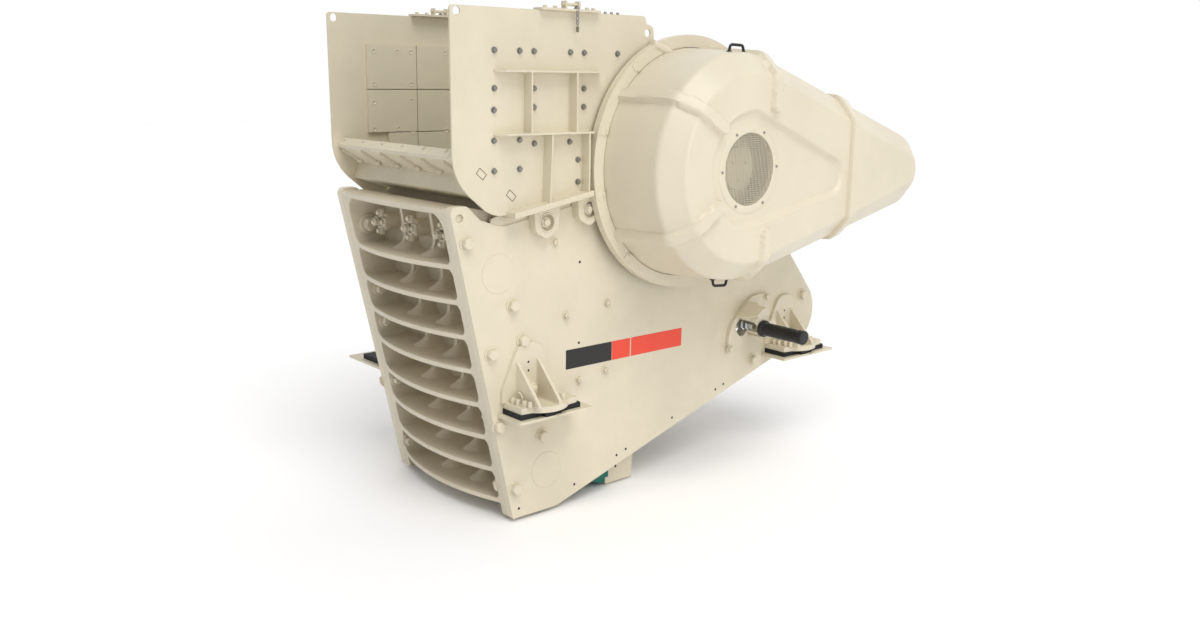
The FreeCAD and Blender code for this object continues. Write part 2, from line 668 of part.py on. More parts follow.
def foot_plate():
    y0, y1 = FOOT_Y - 250, FOOT_Y + 262
    edges = [
        Part.makeLine(V(OUT, y0, FOOT_Z), V(OUT + 215, y0, FOOT_Z)),
        Part.makeLine(V(OUT + 215, y0, FOOT_Z), V(OUT + 225, y0 + 90, FOOT_Z)),
        Part.Arc(V(OUT + 225, y0 + 90, FOOT_Z), V(FOOT_BULGE, FOOT_Y, FOOT_Z),
                 V(OUT + 225, y1 - 90, FOOT_Z)).toShape(),
        Part.makeLine(V(OUT + 225, y1 - 90, FOOT_Z), V(OUT + 215, y1, FOOT_Z)),
        Part.makeLine(V(OUT + 215, y1, FOOT_Z), V(OUT, y1, FOOT_Z)),
        Part.makeLine(V(OUT, y1, FOOT_Z), V(OUT, y0, FOOT_Z))]
    return Part.Face(Part.Wire(edges)).extrude(V(0, 0, FOOT_T))


def bracket():
    base_z = FOOT_Z + FOOT_T
    plate_pts = [(FOOT_Y + a - 35, base_z + b, r) for a, b, r in BRACKET_PLATE]
    parts = [foot_plate(), side_prism(plate_pts, OUT, OUT + 30)]
    for sy in (-1, 1):
        y = FOOT_Y - 48 + sy * GUSSET_Y
        tri = [(OUT + 30, base_z, 0), (OUT + 292, base_z, 0),
               (OUT + 288, base_z + 26, 0), (OUT + 30, base_z + 292, 0)]
        face = Part.Face(outline(tri, lambda p: V(p.x, y - GUSSET_T / 2, p.y)))
        parts.append(face.extrude(V(0, GUSSET_T, 0)))
    return parts[0].fuse(parts[1:]).removeSplitter()


foot = bracket()
pad_z, sole_z = FOOT_Z - PAD_T, FOOT_Z - PAD_T - SOLE_T


def pad(reach):
    base = box(OUT + 2, reach, 353, 902, pad_z, FOOT_Z)
    return base.fuse(box(reach - 5, reach + 42, 545, 690, pad_z, FOOT_Z)).removeSplitter()


def sole(reach):
    return box(OUT + 2, reach, 307, 987, sole_z, pad_z)


for place, step in (("front", 0.0), ("rear", FOOT_STEP)):
    for side in ("right", "left"):
        more_pad, more_sole = (0.0, 0.0) if side == "right" else (WIDE_PAD, WIDE_SOLE)
        for name, shape in (("bracket", foot), ("rubber_pad", pad(PAD_X + more_pad)),
                            ("sole_plate", sole(OUT + 265 + more_sole))):
            moved = shape.copy()
            moved.translate(V(0, step, 0))
            placed = moved if side == "right" else mirror(moved)
            keep(name + "_" + place + "_" + side, placed)

# ---- adjuster: guide plates, yokes and hydraulic cylinders --------------
LENS = [adj(-345, -40) + (80,), adj(-180, -130) + (260,), adj(180, -150) + (260,),
        adj(350, -20) + (60,), adj(180, 130) + (260,), adj(-180, 120) + (260,)]
lens = side_prism(LENS, OUT, OUT + 35).cut(slot)
arms = []
for n in (-95, 95):
    arms.append(side_prism(adj_rect(-50, 100, n - 22, n + 22, 0), OUT + 35, OUT + 210))
crosshead = side_prism(adj_rect(-60, 110, -117, 117, 20), OUT + 210, OUT + 240)
for t in ROD_T.values():
    y, z = adj(t, 0)
    crosshead = crosshead.cut(rod(OUT + 200, OUT + 250, y, z, ROD_R + 4))
for t_side, side, sign in (("front", "right", 1), ("rear", "left", -1)):
    y, z = adj(ROD_T[t_side], 0)
    plate = lens.fuse(arms + [crosshead])
    barrel = rod(OUT + 240, OUT + 690, y, z, BARREL_CYL_R)
    barrel = barrel.cut(rod(OUT + 235, OUT + 650, y, z, ROD_R + 6))
    barrel = barrel.fuse(rod(OUT + 240, OUT + 262, y, z, BARREL_CYL_R + 14).cut(
        rod(OUT + 235, OUT + 270, y, z, ROD_R + 6)))
    if sign > 0:
        keep("adjuster_guide_" + side, plate)
        keep("adjuster_cylinder_" + side, barrel)
    else:
        keep("adjuster_guide_" + side, mirror(plate))
        keep("adjuster_cylinder_" + side, mirror(barrel))

# ---- hand in ------------------------------------------------------------
os.makedirs("parts", exist_ok=True)
for name, shape in nodes.items():
    shape.exportStep("parts/" + name + ".step")
print(len(nodes), "nodes")
whole = Part.makeCompound(list(nodes.values())).BoundBox
print("box", [round(v) for v in (whole.XMin, whole.YMin, whole.ZMin,
                                 whole.XMax, whole.YMax, whole.ZMax)])
for name, shape in nodes.items():
    print(name, len(shape.Solids), shape.isValid(), round(shape.Volume / 1e9, 4))
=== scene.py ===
# %% [markdown]
# # A jaw crusher, dressed for its portrait
#
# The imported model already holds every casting, plate and guard at its true
# size, so nothing here moves or stretches it. What this lesson adds is what a
# visitor notices standing next to the machine: cream enamel over cast and
# rolled steel, bolts and washers, welded-on details, rubber pads, the mesh in
# the guard, and light soft enough to show them.

# %% Load the machine
import json
import math
import random

import bmesh
import bpy
from mathutils import Matrix, Vector

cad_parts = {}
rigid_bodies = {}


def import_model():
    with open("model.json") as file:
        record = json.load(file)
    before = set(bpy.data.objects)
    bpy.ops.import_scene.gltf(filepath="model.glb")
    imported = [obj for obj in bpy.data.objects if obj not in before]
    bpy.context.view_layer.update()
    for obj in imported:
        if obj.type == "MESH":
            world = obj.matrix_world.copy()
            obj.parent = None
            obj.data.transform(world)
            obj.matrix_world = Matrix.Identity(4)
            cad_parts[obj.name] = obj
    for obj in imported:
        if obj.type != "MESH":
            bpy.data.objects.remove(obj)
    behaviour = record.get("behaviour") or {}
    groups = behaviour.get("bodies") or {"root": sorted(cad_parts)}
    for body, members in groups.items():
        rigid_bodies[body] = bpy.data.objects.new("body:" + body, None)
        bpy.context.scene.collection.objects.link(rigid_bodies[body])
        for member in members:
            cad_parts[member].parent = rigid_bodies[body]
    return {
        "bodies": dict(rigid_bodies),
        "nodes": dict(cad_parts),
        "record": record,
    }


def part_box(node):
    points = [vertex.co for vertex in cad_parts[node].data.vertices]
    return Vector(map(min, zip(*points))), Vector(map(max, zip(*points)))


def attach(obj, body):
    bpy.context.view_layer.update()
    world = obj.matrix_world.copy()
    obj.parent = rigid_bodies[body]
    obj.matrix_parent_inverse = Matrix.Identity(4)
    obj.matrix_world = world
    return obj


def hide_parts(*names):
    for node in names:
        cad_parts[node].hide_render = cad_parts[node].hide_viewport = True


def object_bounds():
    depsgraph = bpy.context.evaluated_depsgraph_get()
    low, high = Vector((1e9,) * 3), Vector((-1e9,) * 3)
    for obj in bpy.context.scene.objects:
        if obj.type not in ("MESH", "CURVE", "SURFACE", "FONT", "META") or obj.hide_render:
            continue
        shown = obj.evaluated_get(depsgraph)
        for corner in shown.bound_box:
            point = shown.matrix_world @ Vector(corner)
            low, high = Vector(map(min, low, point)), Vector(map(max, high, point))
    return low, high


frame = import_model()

BODY = frame["bodies"]
NODE = frame["nodes"]
CAD_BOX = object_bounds()
print("bodies:", sorted(BODY))
print("box of the machine:", CAD_BOX)

# %% [markdown]
# ## Where things are
#
# The drawings of the crusher count from the front lug hole and the plates'
# lowest corner, while the model's origin lies under one foot. One small
# function goes from drawing numbers, in metres, to model places, and it takes
# its anchor from the model itself: the lug bore and the sole of the plates.

# %% Drawing numbers to places
MOUNTS = {m["name"]: m for m in frame["record"]["mounts"]}
LUG = Vector(MOUNTS["lug_front_right"]["pos_m"])
PLATE_LOW, PLATE_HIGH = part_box("side_plate_right")
OUT = 0.780
ANCHOR = Vector((PLATE_HIGH[0] - OUT, LUG.y, PLATE_LOW[2]))


def at(x, y, z):
    return ANCHOR + Vector((x, y, z))


print("anchor:", [round(v, 4) for v in ANCHOR])

# %% [markdown]
# ## The camera
#
# A long, level lens keeps the plates' edges straight. The camera stands off
# the front corner on the belt side, a little above the hopper's rim, and its
# three axes are written out as one rotation matrix.

# %% Camera
def look(yaw, pitch, roll):
    """Camera rotation: yaw turns left from +Y, pitch tips down, roll tilts."""
    cp = math.cos(pitch)
    ahead = Vector((-math.sin(yaw) * cp, math.cos(yaw) * cp, -math.sin(pitch)))
    level = Vector((math.cos(yaw), math.sin(yaw), 0.0))
    up = level.cross(ahead)
    right = level * math.cos(roll) + up * math.sin(roll)
    top = up * math.cos(roll) - level * math.sin(roll)
    return Matrix((right, top, -ahead)).transposed()


lens = bpy.data.cameras.new("camera")
lens.sensor_width = 36.0
lens.lens = 32.9
lens.clip_end = 400.0
camera = bpy.data.objects.new("camera", lens)
bpy.context.scene.collection.objects.link(camera)
turn = look(math.radians(48.470), math.radians(12.391), math.radians(0.9044))
camera.matrix_world = Matrix.Translation(at(6.925, -4.163, 3.262)) @ turn.to_4x4()
bpy.context.scene.camera = camera
print("camera at", [round(v, 3) for v in camera.matrix_world.translation])

# %% [markdown]
# ## Floor and light
#
# A pale studio: one wide floor, a world that is white beyond the machine and
# dimmer behind the viewer, and a broad key light high on the belt side. A far
# light of wide angle keeps the whole floor evenly bright and still gives the
# soft-edged shadow under the machine. A weak lamp fills the side plates.

# %% Floor
scene = bpy.context.scene
FLOOR_Z = CAD_BOX[0][2] - 0.012
floor_mesh = bpy.data.meshes.new("floor")
REACH = 60.0
floor_mesh.from_pydata(
    [(sx * REACH, sy * REACH, FLOOR_Z) for sx, sy in ((-1, -1), (1, -1), (1, 1), (-1, 1))],
    [], [(0, 1, 2, 3)])
floor = bpy.data.objects.new("floor", floor_mesh)
scene.collection.objects.link(floor)
print("floor at", round(FLOOR_Z, 4))

# %% World and lamps
world = bpy.data.worlds.new("studio")
scene.world = world
world.use_nodes = True
sky = world.node_tree
backdrop = sky.nodes["Background"]
heading = sky.nodes.new("ShaderNodeTexCoord")
towards = sky.nodes.new("ShaderNodeVectorMath")
towards.operation = "DOT_PRODUCT"
towards.inputs[1].default_value = (-0.75, 0.66, 0.0)
fade = sky.nodes.new("ShaderNodeValToRGB")
fade.color_ramp.elements[0].position = 0.0
fade.color_ramp.elements[0].color = (0.50, 0.505, 0.52, 1)
fade.color_ramp.elements[1].position = 0.55
fade.color_ramp.elements[1].color = (1.0, 1.0, 1.0, 1)
sky.links.new(heading.outputs["Generated"], towards.inputs[0])
sky.links.new(towards.outputs["Value"], fade.inputs[0])
sky.links.new(fade.outputs[0], backdrop.inputs["Color"])
backdrop.inputs["Strength"].default_value = 1.0


def lamp(name, place, aim, size, watts, tint=(1, 1, 1)):
    data = bpy.data.lights.new(name, "AREA")
    data.shape = "DISK"
    data.size = size
    data.energy = watts
    data.color = tint
    obj = bpy.data.objects.new(name, data)
    obj.location = place
    obj.rotation_euler = (Vector(aim) - Vector(place)).to_track_quat("-Z", "Y").to_euler()
    scene.collection.objects.link(obj)
    return obj


MIDDLE = at(0, 1.6, 1.6)
sun_data = bpy.data.lights.new("high key", "SUN")
sun_data.energy = 1.6
sun_data.angle = math.radians(38)
sun_data.color = (1.0, 0.985, 0.95)
sun = bpy.data.objects.new("high key", sun_data)
sun.rotation_euler = Vector((-0.62, 0.20, -1.0)).to_track_quat("-Z", "Y").to_euler()
scene.collection.objects.link(sun)
lamp("side fill", MIDDLE + Vector((9.0, -1.5, 2.5)), MIDDLE, 5.0, 150, (1.0, 0.98, 0.95))

# %% [markdown]
# ## Writing materials as sums
#
# A shader is arithmetic on things that vary over a surface. Wrapping a socket
# in a small class lets that arithmetic be read as ordinary Python: `1 - match`
# adds a Subtract node, `grain * 0.3` a Multiply node.

# %% The wrapped socket
class Value:
    """A number that varies over the surface, written with + - * / and **."""

    def __init__(self, paint, socket):
        self.paint = paint
        self.socket = socket

    def _math(self, operation, a, b):
        return self.paint.node("ShaderNodeMath", {"operation": operation}, {0: a, 1: b})

    def __add__(self, other):
        return self._math("ADD", self, other)

    def __radd__(self, other):
        return self._math("ADD", other, self)

    def __sub__(self, other):
        return self._math("SUBTRACT", self, other)

    def __rsub__(self, other):
        return self._math("SUBTRACT", other, self)

    def __mul__(self, other):
        return self._math("MULTIPLY", self, other)

    def __rmul__(self, other):
        return self._math("MULTIPLY", other, self)

    def __pow__(self, other):
        return self._math("POWER", self, other)


class Paint:
    """One material being mixed; its last step is fill()."""

    def __init__(self, name):
        self.material = bpy.data.materials.new(name)
        self.material.use_nodes = True
        self.tree = self.material.node_tree
        self.tree.nodes.clear()

    def node(self, kind, settings=None, sockets=None, out=0):
        made = self.tree.nodes.new(kind)
        for key, setting in (settings or {}).items():
            if key == "stops":
                ramp = made.color_ramp.elements
                while len(ramp) < len(setting):
                    ramp.new(0.5)
                for element, (place, shade) in zip(ramp, setting):
                    element.position = place
                    element.color = (shade,) * 3 + (1,)
            else:
                setattr(made, key, setting)
        for key, given in (sockets or {}).items():
            if isinstance(given, Value):
                self.tree.links.new(given.socket, made.inputs[key])
            else:
                made.inputs[key].default_value = given
        return Value(self, made.outputs[out]) if made.outputs else None

    def noise(self, scale, detail=3.0, rough=0.55, where=None):
        spot = where or self.place()
        return self.node("ShaderNodeTexNoise", {},
                         {"Vector": spot, "Scale": scale, "Detail": detail,
                          "Roughness": rough})

    def place(self):
        return self.node("ShaderNodeTexCoord", out=3)

    def ramp(self, value, low, high, a=0.0, b=1.0):
        return self.node("ShaderNodeValToRGB", {"stops": [(low, a), (high, b)]},
                         {0: value})

    def blend(self, mask, under, over):
        """Colour under where the mask is 0, colour over where it is 1."""
        return self.node("ShaderNodeMix", {"data_type": "RGBA"},
                         {0: mask, 6: under, 7: over}, out=2)

    def bump(self, height, strength, distance, normal=None):
        sockets = {"Height": height, "Strength": strength, "Distance": distance}
        if normal is not None:
            sockets["Normal"] = normal
        return self.node("ShaderNodeBump", {}, sockets)

    def fill(self, **sockets):
        names = {key.replace("_", " "): given for key, given in sockets.items()}
        shader = self.node("ShaderNodeBsdfPrincipled", {}, names)
        self.node("ShaderNodeOutputMaterial", {}, {"Surface": shader})
        return self.material


def linear(r, g, b):
    """Everyday 0-255 colour numbers to the linear ones that light adds up in."""
    def one(c):
        c /= 255
        return c / 12.92 if c <= 0.04045 else ((c + 0.055) / 1.055) ** 2.4
    return (one(r), one(g), one(b), 1.0)


print("paint box ready")

# %% [markdown]
# ## Cream enamel
#
# Everything structural wears the same cream enamel. Sprayed paint is never one
# colour: it clouds a little over a metre and has orange peel at a centimetre.
# Its corners get a painted highlight: a paler cream, broken up by noise, where
# light would catch them. The corners could be painted by hand; here a Bevel
# node finds them instead. It gives the normal that a rounded corner would
# have, so where that normal and the true one part, there is an edge, on any
# plate of any size. The same rounded normal catches the light.

# %% Enamel
def edge_finder(p, radius):
    """Rounded normal, and a mask that is 1 on corners and 0 on flats."""
    soft = p.node("ShaderNodeBevel", {"samples": 4}, {"Radius": radius})
    flat = p.node("ShaderNodeNewGeometry", out=1)
    match = p.node("ShaderNodeVectorMath", {"operation": "DOT_PRODUCT"},
                   {0: soft, 1: flat}, out=1)
    return soft, p.ramp(1 - match, 0.01, 0.12)


def clouded(p, base, cloud):
    """The enamel's colour, darker in soft clouds, and the two noises behind it."""
    clouds = p.noise(1.3, 4.0)
    grime = p.noise(6.0, 6.0, 0.65)
    dark = tuple(c * (1 - cloud * 2) for c in base[:3]) + (1.0,)
    return p.blend(p.ramp(clouds * 0.7 + grime * 0.3, 0.38, 0.66), base, dark), clouds, grime


def enamel(name, base, cloud=0.05, peel=0.12, rough=0.42, cast=0.0, edge_highlight=0.35, edge=0.004):
    """Sprayed enamel on steel, with a painted highlight along its edges."""
    p = Paint(name)
    soft, corners = edge_finder(p, edge)
    colour, _, grime = clouded(p, base, cloud)
    speck = p.noise(38.0, 3.0)
    pale = tuple(min(1.0, c * 1.12 + 0.02) for c in base[:3]) + (1.0,)
    # painted highlight: on the corners, broken up by noise, the colour turns a paler cream where light
    # would catch them
    colour = p.blend(corners * p.ramp(grime, 0.35, 0.6) * edge_highlight, colour, pale)
    height = p.noise(240.0, 2.0) * 0.4 + speck * 0.6
    if cast:
        height = height + p.noise(70.0, 5.0, 0.7) * cast
    sheen = p.ramp(speck * 0.6 + grime * 0.4, 0.35, 0.65, rough - 0.05, rough + 0.08)
    return p.fill(Base_Color=colour, Roughness=sheen,
                  Normal=p.bump(height, peel, 0.0012, soft))


def moulded(name, base, cloud, rough):
    """The guards' moulded sheet: smooth, glossier, with no painted highlight on its edges."""
    p = Paint(name)
    colour, clouds, _ = clouded(p, base, cloud)
    sheen = p.ramp(clouds, 0.3, 0.7, rough - 0.04, rough + 0.04)
    return p.fill(Base_Color=colour, Roughness=sheen, Coat_Weight=0.08)


CREAM = linear(217, 208, 185)
cream = enamel("cream enamel", CREAM)
cream_cast = enamel("cream enamel on casting", linear(216, 206, 184), 0.07, 0.3, 0.5, 1.5,
                    edge=0.012)
guard_gloss = moulded("cream guard gloss", linear(217, 208, 186), 0.03, 0.40)
teal = enamel("teal enamel", linear(0, 105, 92), 0.1, 0.4, 0.5, 1.0)
# the black enamel gets a weaker painted highlight on its corners
black = enamel("black enamel", linear(20, 20, 22), 0.2, 0.2, 0.38, edge_highlight=0.15)
strip_dark = enamel("plain dark strip", linear(28, 26, 25), 0.06, 0.05, 0.4)
strip_red = enamel("plain red strip", linear(236, 72, 48), 0.04, 0.05, 0.4)
inside = enamel("unlit inside", linear(38, 35, 30), 0.2, 0.2, 0.8)
print("enamels ready; cream is", [round(c, 3) for c in CREAM[:3]])

# %% [markdown]
# ## Rubber, steel and the floor
#
# The pads under the feet are matt black rubber, the adjusting rods hard
# chrome, and the hopper's bolts are left as zinc plated steel. Steel is the
# same recipe each time, metal with a fine brushed speck and a painted
# highlight on its corners, in another shade and roughness.

# %% Rubber and steel
def rubber_paint():
    p = Paint("black rubber")
    speck = p.noise(90.0, 4.0)
    dust = p.noise(9.0, 5.0)
    colour = p.blend(p.ramp(speck * 0.5 + dust * 0.5, 0.4, 0.65),
                     linear(17, 18, 22), linear(36, 37, 40))
    return p.fill(Base_Color=colour, Roughness=p.ramp(speck, 0.3, 0.7, 0.6, 0.85),
                  Normal=p.bump(speck, 0.5, 0.001))


def steel_paint(name, shade, rough, edge=0.002):
    p = Paint(name)
    soft, corners = edge_finder(p, edge)
    speck = p.noise(60.0, 5.0)
    turned_marks = p.noise(220.0, 2.0)
    low = tuple(c * 0.8 for c in shade[:3]) + (1.0,)
    high = tuple(min(1.0, c * 1.2) for c in shade[:3]) + (1.0,)
    colour = p.blend(p.ramp(speck, 0.3, 0.75), shade, low)
    # painted highlight: the steel's colour turns lighter on its corners
    return p.fill(Base_Color=p.blend(corners * 0.6, colour, high), Metallic=1.0,
                  Roughness=p.ramp(speck, 0.3, 0.7, rough - 0.06, rough + 0.1),
                  Normal=p.bump(speck * 0.5 + turned_marks * 0.5, 0.2, 0.0005, soft))


rubber = rubber_paint()
machined = steel_paint("machined steel", linear(158, 156, 152), 0.35)
chrome = steel_paint("hard chrome", linear(205, 209, 216), 0.14)
zinc = steel_paint("zinc plated steel", linear(158, 156, 150), 0.42)


def floor_paint():
    p = Paint("pale floor")
    clouds = p.noise(0.4, 2.0)
    return p.fill(Base_Color=p.blend(clouds, linear(250, 250, 251), linear(247, 247, 248)),
                  Roughness=0.9)


floor.data.materials.append(floor_paint())
print(len(bpy.data.materials), "finishes in the paint box")

# %% [markdown]
# ## Dressing the nodes
#
# The record says which slot each node takes its finish from, so the table
# below has one line per slot. The castings get the rougher version of the
# cream, and the guards the glossier one, because they are moulded.

# %% Which finish goes on which node
FINISH = {"paint": cream, "rubber": rubber, "die": teal, "cheek": teal, "cylinder": black,
          "rod": chrome, "machined": machined, "mesh": cream, "liner": cream}
SLOT_OF = {s["node"]: s["material_slot"] for s in frame["record"]["subparts"]}
CAST = ("front_frame_end", "rear_frame_end", "pitman", "bearing_housing_right",
        "bearing_housing_left", "jaw_clamps")
for name, obj in NODE.items():
    finish = cream_cast if name in CAST else FINISH[SLOT_OF[name]]
    if "guard" in name and SLOT_OF[name] == "paint":
        finish = guard_gloss
    obj.data.materials.clear()
    obj.data.materials.append(finish)
print("dressed", len(NODE), "nodes")

# %% [markdown]
# ## Small tools for making pieces
#
# Every fitting below is made the way a shop would make it: turned on a lathe,
# cut from plate, bent from bar. One helper stands for each of these trades.
# They all add to one bmesh, so that a whole set of bolts becomes one piece.

# %% Handing a mesh over as a piece
MID_X = ANCHOR.x


def mirrored(bm):
    """The same mesh for the other side of the middle plane."""
    other = bm.copy()
    for v in other.verts:
        v.co.x = 2 * MID_X - v.co.x
    bmesh.ops.reverse_faces(other, faces=other.faces[:])
    return other


def fit(name, bm, finish, slot, body="frame", stands_for=(), crease=32):
    """Turn a bmesh into a piece that rides on its body."""
    mesh = bpy.data.meshes.new(name)
    bm.to_mesh(mesh)
    bm.free()
    finishes = finish if isinstance(finish, (list, tuple)) else [finish]
    for each in finishes:
        mesh.materials.append(each)
    mesh.shade_smooth()
    mesh.set_sharp_from_angle(angle=math.radians(crease))
    obj = bpy.data.objects.new(name, mesh)
    scene.collection.objects.link(obj)
    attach(obj, body)
    if stands_for:
        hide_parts(*stands_for)
    return obj


def fit_pair(name, bm, finish, slot, **more):
    """The piece on the belt side and its mirror image on the other."""
    other = mirrored(bm)
    fit(name + "_left", other, finish, slot, **more)
    return fit(name + "_right", bm, finish, slot, **more)


# %% Lathe, hexagon bar and plate
def square_to(axis):
    """The axis and two directions square to it and to each other."""
    axis = Vector(axis).normalized()
    helper = Vector((0, 0, 1)) if abs(axis.z) < 0.9 else Vector((0, 1, 0))
    u = axis.cross(helper).normalized()
    return axis, u, axis.cross(u)


def skin(bm, rings, closed=True, caps=True):
    """Faces between rings of equally many points, with flat ends."""
    rows = [[bm.verts.new(p) for p in ring] for ring in rings]
    n = len(rows[0])
    made = []
    for a, b in zip(rows, rows[1:]):
        for i in range(n if closed else n - 1):
            j = (i + 1) % n
            made.append(bm.faces.new((a[i], a[j], b[j], b[i])))
    if caps:
        made.append(bm.faces.new(rows[0][::-1]))
        made.append(bm.faces.new(rows[-1]))
    return made


def turned(bm, place, axis, steps, sides=24, start=0.0):
    """Lathe work: (radius, height) steps along an axis."""
    axis, u, v = square_to(axis)
    rings = []
    for radius, height in steps:
        base = Vector(place) + axis * height
        rings.append([base + (u * math.cos(t) + v * math.sin(t)) * radius
                      for t in (start + 2 * math.pi * i / sides for i in range(sides))])
    return skin(bm, rings)


def hexagon(bm, place, axis, flats, height, spin=0.0):
    """Hexagon head or nut with its corners turned off."""
    r = flats / math.sqrt(3)
    return turned(bm, place, axis, [(r * 0.97, 0), (r, height * 0.08), (r, height * 0.84),
                                    (r * 0.87, height)], 6, spin)


def bolt(bm, place, axis, flats, spin=0.0, washer=1.0):
    """Washer, hexagon head and the rounded crown on it."""
    w = flats * 0.11
    turned(bm, place, axis, [(flats * 0.74 * washer, 0), (flats * 0.74 * washer, w * 0.7),
                             (flats * 0.70 * washer, w)], 28)
    top = Vector(place) + Vector(axis).normalized() * w
    hexagon(bm, top, axis, flats, flats * 0.56, spin)


def slab(bm, ring, lift, edge=0.0):
    """Flat plate: a ring of points lifted by its thickness, edges broken."""
    lift = Vector(lift)
    middle = sum((Vector(p) for p in ring), Vector()) / len(ring)
    up = lift.normalized()

    def drawn_in(p):
        out = Vector(p) - middle
        out -= up * out.dot(up)
        return Vector(p) - out.normalized() * edge if out.length > edge else Vector(p)

    low = [Vector(p) for p in ring]
    if edge <= 0:
        return skin(bm, [low, [p + lift for p in low]])
    e = up * edge
    return skin(bm, [[drawn_in(p) for p in low], [p + e for p in low],
                     [p + lift - e for p in low], [drawn_in(p) + lift for p in low]])


def rounded(corners, steps=6):
    """Points of an outline of (a, b, radius) corners, arcs cut in steps."""
    points = []
    n = len(corners)
    for i, (a, b, r) in enumerate(corners):
        p = Vector((a, b))
        u = (Vector(corners[i - 1][:2]) - p).normalized()
        w = (Vector(corners[(i + 1) % n][:2]) - p).normalized()
        if r <= 0:
            points.append(p)
            continue
        half = u.angle(w) / 2
        centre = p + (u + w).normalized() * (r / math.sin(half))
        first = p + u * (r / math.tan(half)) - centre
        last = p + w * (r / math.tan(half)) - centre
        for k in range(steps + 1):
            t = k / steps
            arm = first * (1 - t) + last * t
            points.append(centre + arm.normalized() * r)
    return points


def side_plate_piece(bm, corners, x0, x1, edge=0.0):
    """Plate in the (y, z) plane between two x, from rounded corners."""
    ring = [at(x0, p.x, p.y) for p in rounded(corners)]
    return slab(bm, ring, (x1 - x0, 0, 0), edge)


# %% Bar and pipe
def bar(bm, a, b, wide, deep, up=(0, 0, 1), edge=0.002):
    """Rectangular bar between two points; up says where its depth points."""
    a, b = Vector(a), Vector(b)
    along = (b - a).normalized()
    side = along.cross(Vector(up)).normalized()
    top = side.cross(along)
    ring = [a + side * (sx * wide / 2) + top * (sz * deep / 2)
            for sx, sz in ((-1, -1), (1, -1), (1, 1), (-1, 1))]
    return slab(bm, ring, b - a, edge)


def pipe(bm, points, radius, sides=10, closed=False, caps=True):
    """Round bar bent along points."""
    points = [Vector(p) for p in points]
    n = len(points)
    rings = []
    last_u = None
    for i, p in enumerate(points):
        ahead = points[(i + 1) % n] if (closed or i < n - 1) else p
        behind = points[i - 1] if (closed or i > 0) else p
        along = (ahead - behind).normalized()
        if last_u is None:
            u = square_to(along)[1]
        else:
            u = (last_u - along * last_u.dot(along)).normalized()
        last_u = u
        v = along.cross(u)
        rings.append([p + (u * math.cos(t) + v * math.sin(t)) * radius
                      for t in (2 * math.pi * k / sides for k in range(sides))])
    if closed:
        rings.append(rings[0])
        faces = skin(bm, rings, caps=False)
        bmesh.ops.remove_doubles(bm, verts=bm.verts[:], dist=1e-6)
        return faces
    return skin(bm, rings, caps=caps)


def bend(points, radius, steps=5):
    """The same path with its corners rounded."""
    points = [Vector(p) for p in points]
    path = [points[0]]
    for before, here, after in zip(points, points[1:], points[2:]):
        r = min(radius, (here - before).length * 0.45, (after - here).length * 0.45)
        start = here + (before - here).normalized() * r
        end = here + (after - here).normalized() * r
        for k in range(steps + 1):
            t = k / steps
            path.append(start * (1 - t) ** 2 + here * 2 * t * (1 - t) + end * t * t)
    return path + [points[-1]]


print("tools ready")

# %% [markdown]
# ## The flywheel guards
#
# Each flywheel turns inside a moulded cover. On the belt side the cover runs
# out into a tail for the drive belts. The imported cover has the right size, but
# moulded sheet has no sharp edges, and its stiffening ribs run over the corner
# from the face on to the wall. Such a form could be carved by sculpting; here
# it is grown from rings: each ring is a teardrop outline one step further out,
# the rings follow a rounded profile, and then every point near the line of a
# rib is pushed outwards. The band round the tail has steep sides, which the
# grid of rings is too coarse for, so it is laid over the cover as its own bar.

# %% Outline and profile of a cover
GUARD_LOW, GUARD_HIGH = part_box("belt_guard_cover")
FACE_X = GUARD_HIGH.x - MID_X
SHAFT = Vector((2.05, 2.58))
TAIL = Vector((4.06, 2.48))
TAIL_R = 0.345
DRUM_R = 0.880
WINDOW_R = 0.270
DISH = 0.037
BACK_X = GUARD_LOW.x - MID_X
ROUND_STEPS, LINE_STEPS, TAIL_STEPS = 200, 84, 36


def teardrop(r, tail_r):
    """(y, z) points round the drum and its tail, always equally many."""
    gap = TAIL - SHAFT
    base = math.atan2(gap.y, gap.x)
    opened = math.acos((r - tail_r) / gap.length)

    def spot(centre, radius, turn):
        return Vector((centre.x + radius * math.cos(turn), centre.y + radius * math.sin(turn)))

    points = []
    for k in range(ROUND_STEPS):
        turn = base + opened + (2 * math.pi - 2 * opened) * k / ROUND_STEPS
        points.append(spot(SHAFT, r, turn))
    low, high = base - opened, base + opened
    for k in range(LINE_STEPS):
        points.append(spot(SHAFT, r, low).lerp(spot(TAIL, tail_r, low), k / LINE_STEPS))
    for k in range(TAIL_STEPS):
        points.append(spot(TAIL, tail_r, low + (high - low) * k / TAIL_STEPS))
    for k in range(LINE_STEPS):
        points.append(spot(TAIL, tail_r, high).lerp(spot(SHAFT, r, high), k / LINE_STEPS))
    return points


def circle(r, count):
    """The same for the cover without a tail."""
    return [Vector((SHAFT.x + r * math.cos(t), SHAFT.y + r * math.sin(t)))
            for t in (2 * math.pi * k / count for k in range(count))]


def rounded_profile(knots, step, reach):
    """Even steps along a bent line, with its corners averaged soft."""
    knots = [Vector(k) for k in knots]
    walk = []
    for a, b in zip(knots, knots[1:]):
        count = max(1, round((b - a).length / step))
        walk += [a.lerp(b, k / count) for k in range(count)]
    walk.append(knots[-1])
    w = max(1, round(reach / step))
    soft = []
    for i in range(len(walk)):
        half = min(w, i, len(walk) - 1 - i)
        near = walk[i - half:i + half + 1]
        soft.append(sum(near, Vector((0, 0, 0))) / len(near))
    return soft


PROFILE = rounded_profile(
    [(BACK_X + 0.012, 0, 0), (FACE_X - 0.155, 0.035, 0.035), (FACE_X - 0.040, 0.145, 0.160),
     (FACE_X, 0.180, 0.225), (FACE_X + 0.001, 0.275, 0.275)], 0.018, 0.020)
print("cover profile:", len(PROFILE), "rings; face at x =", round(FACE_X, 4))

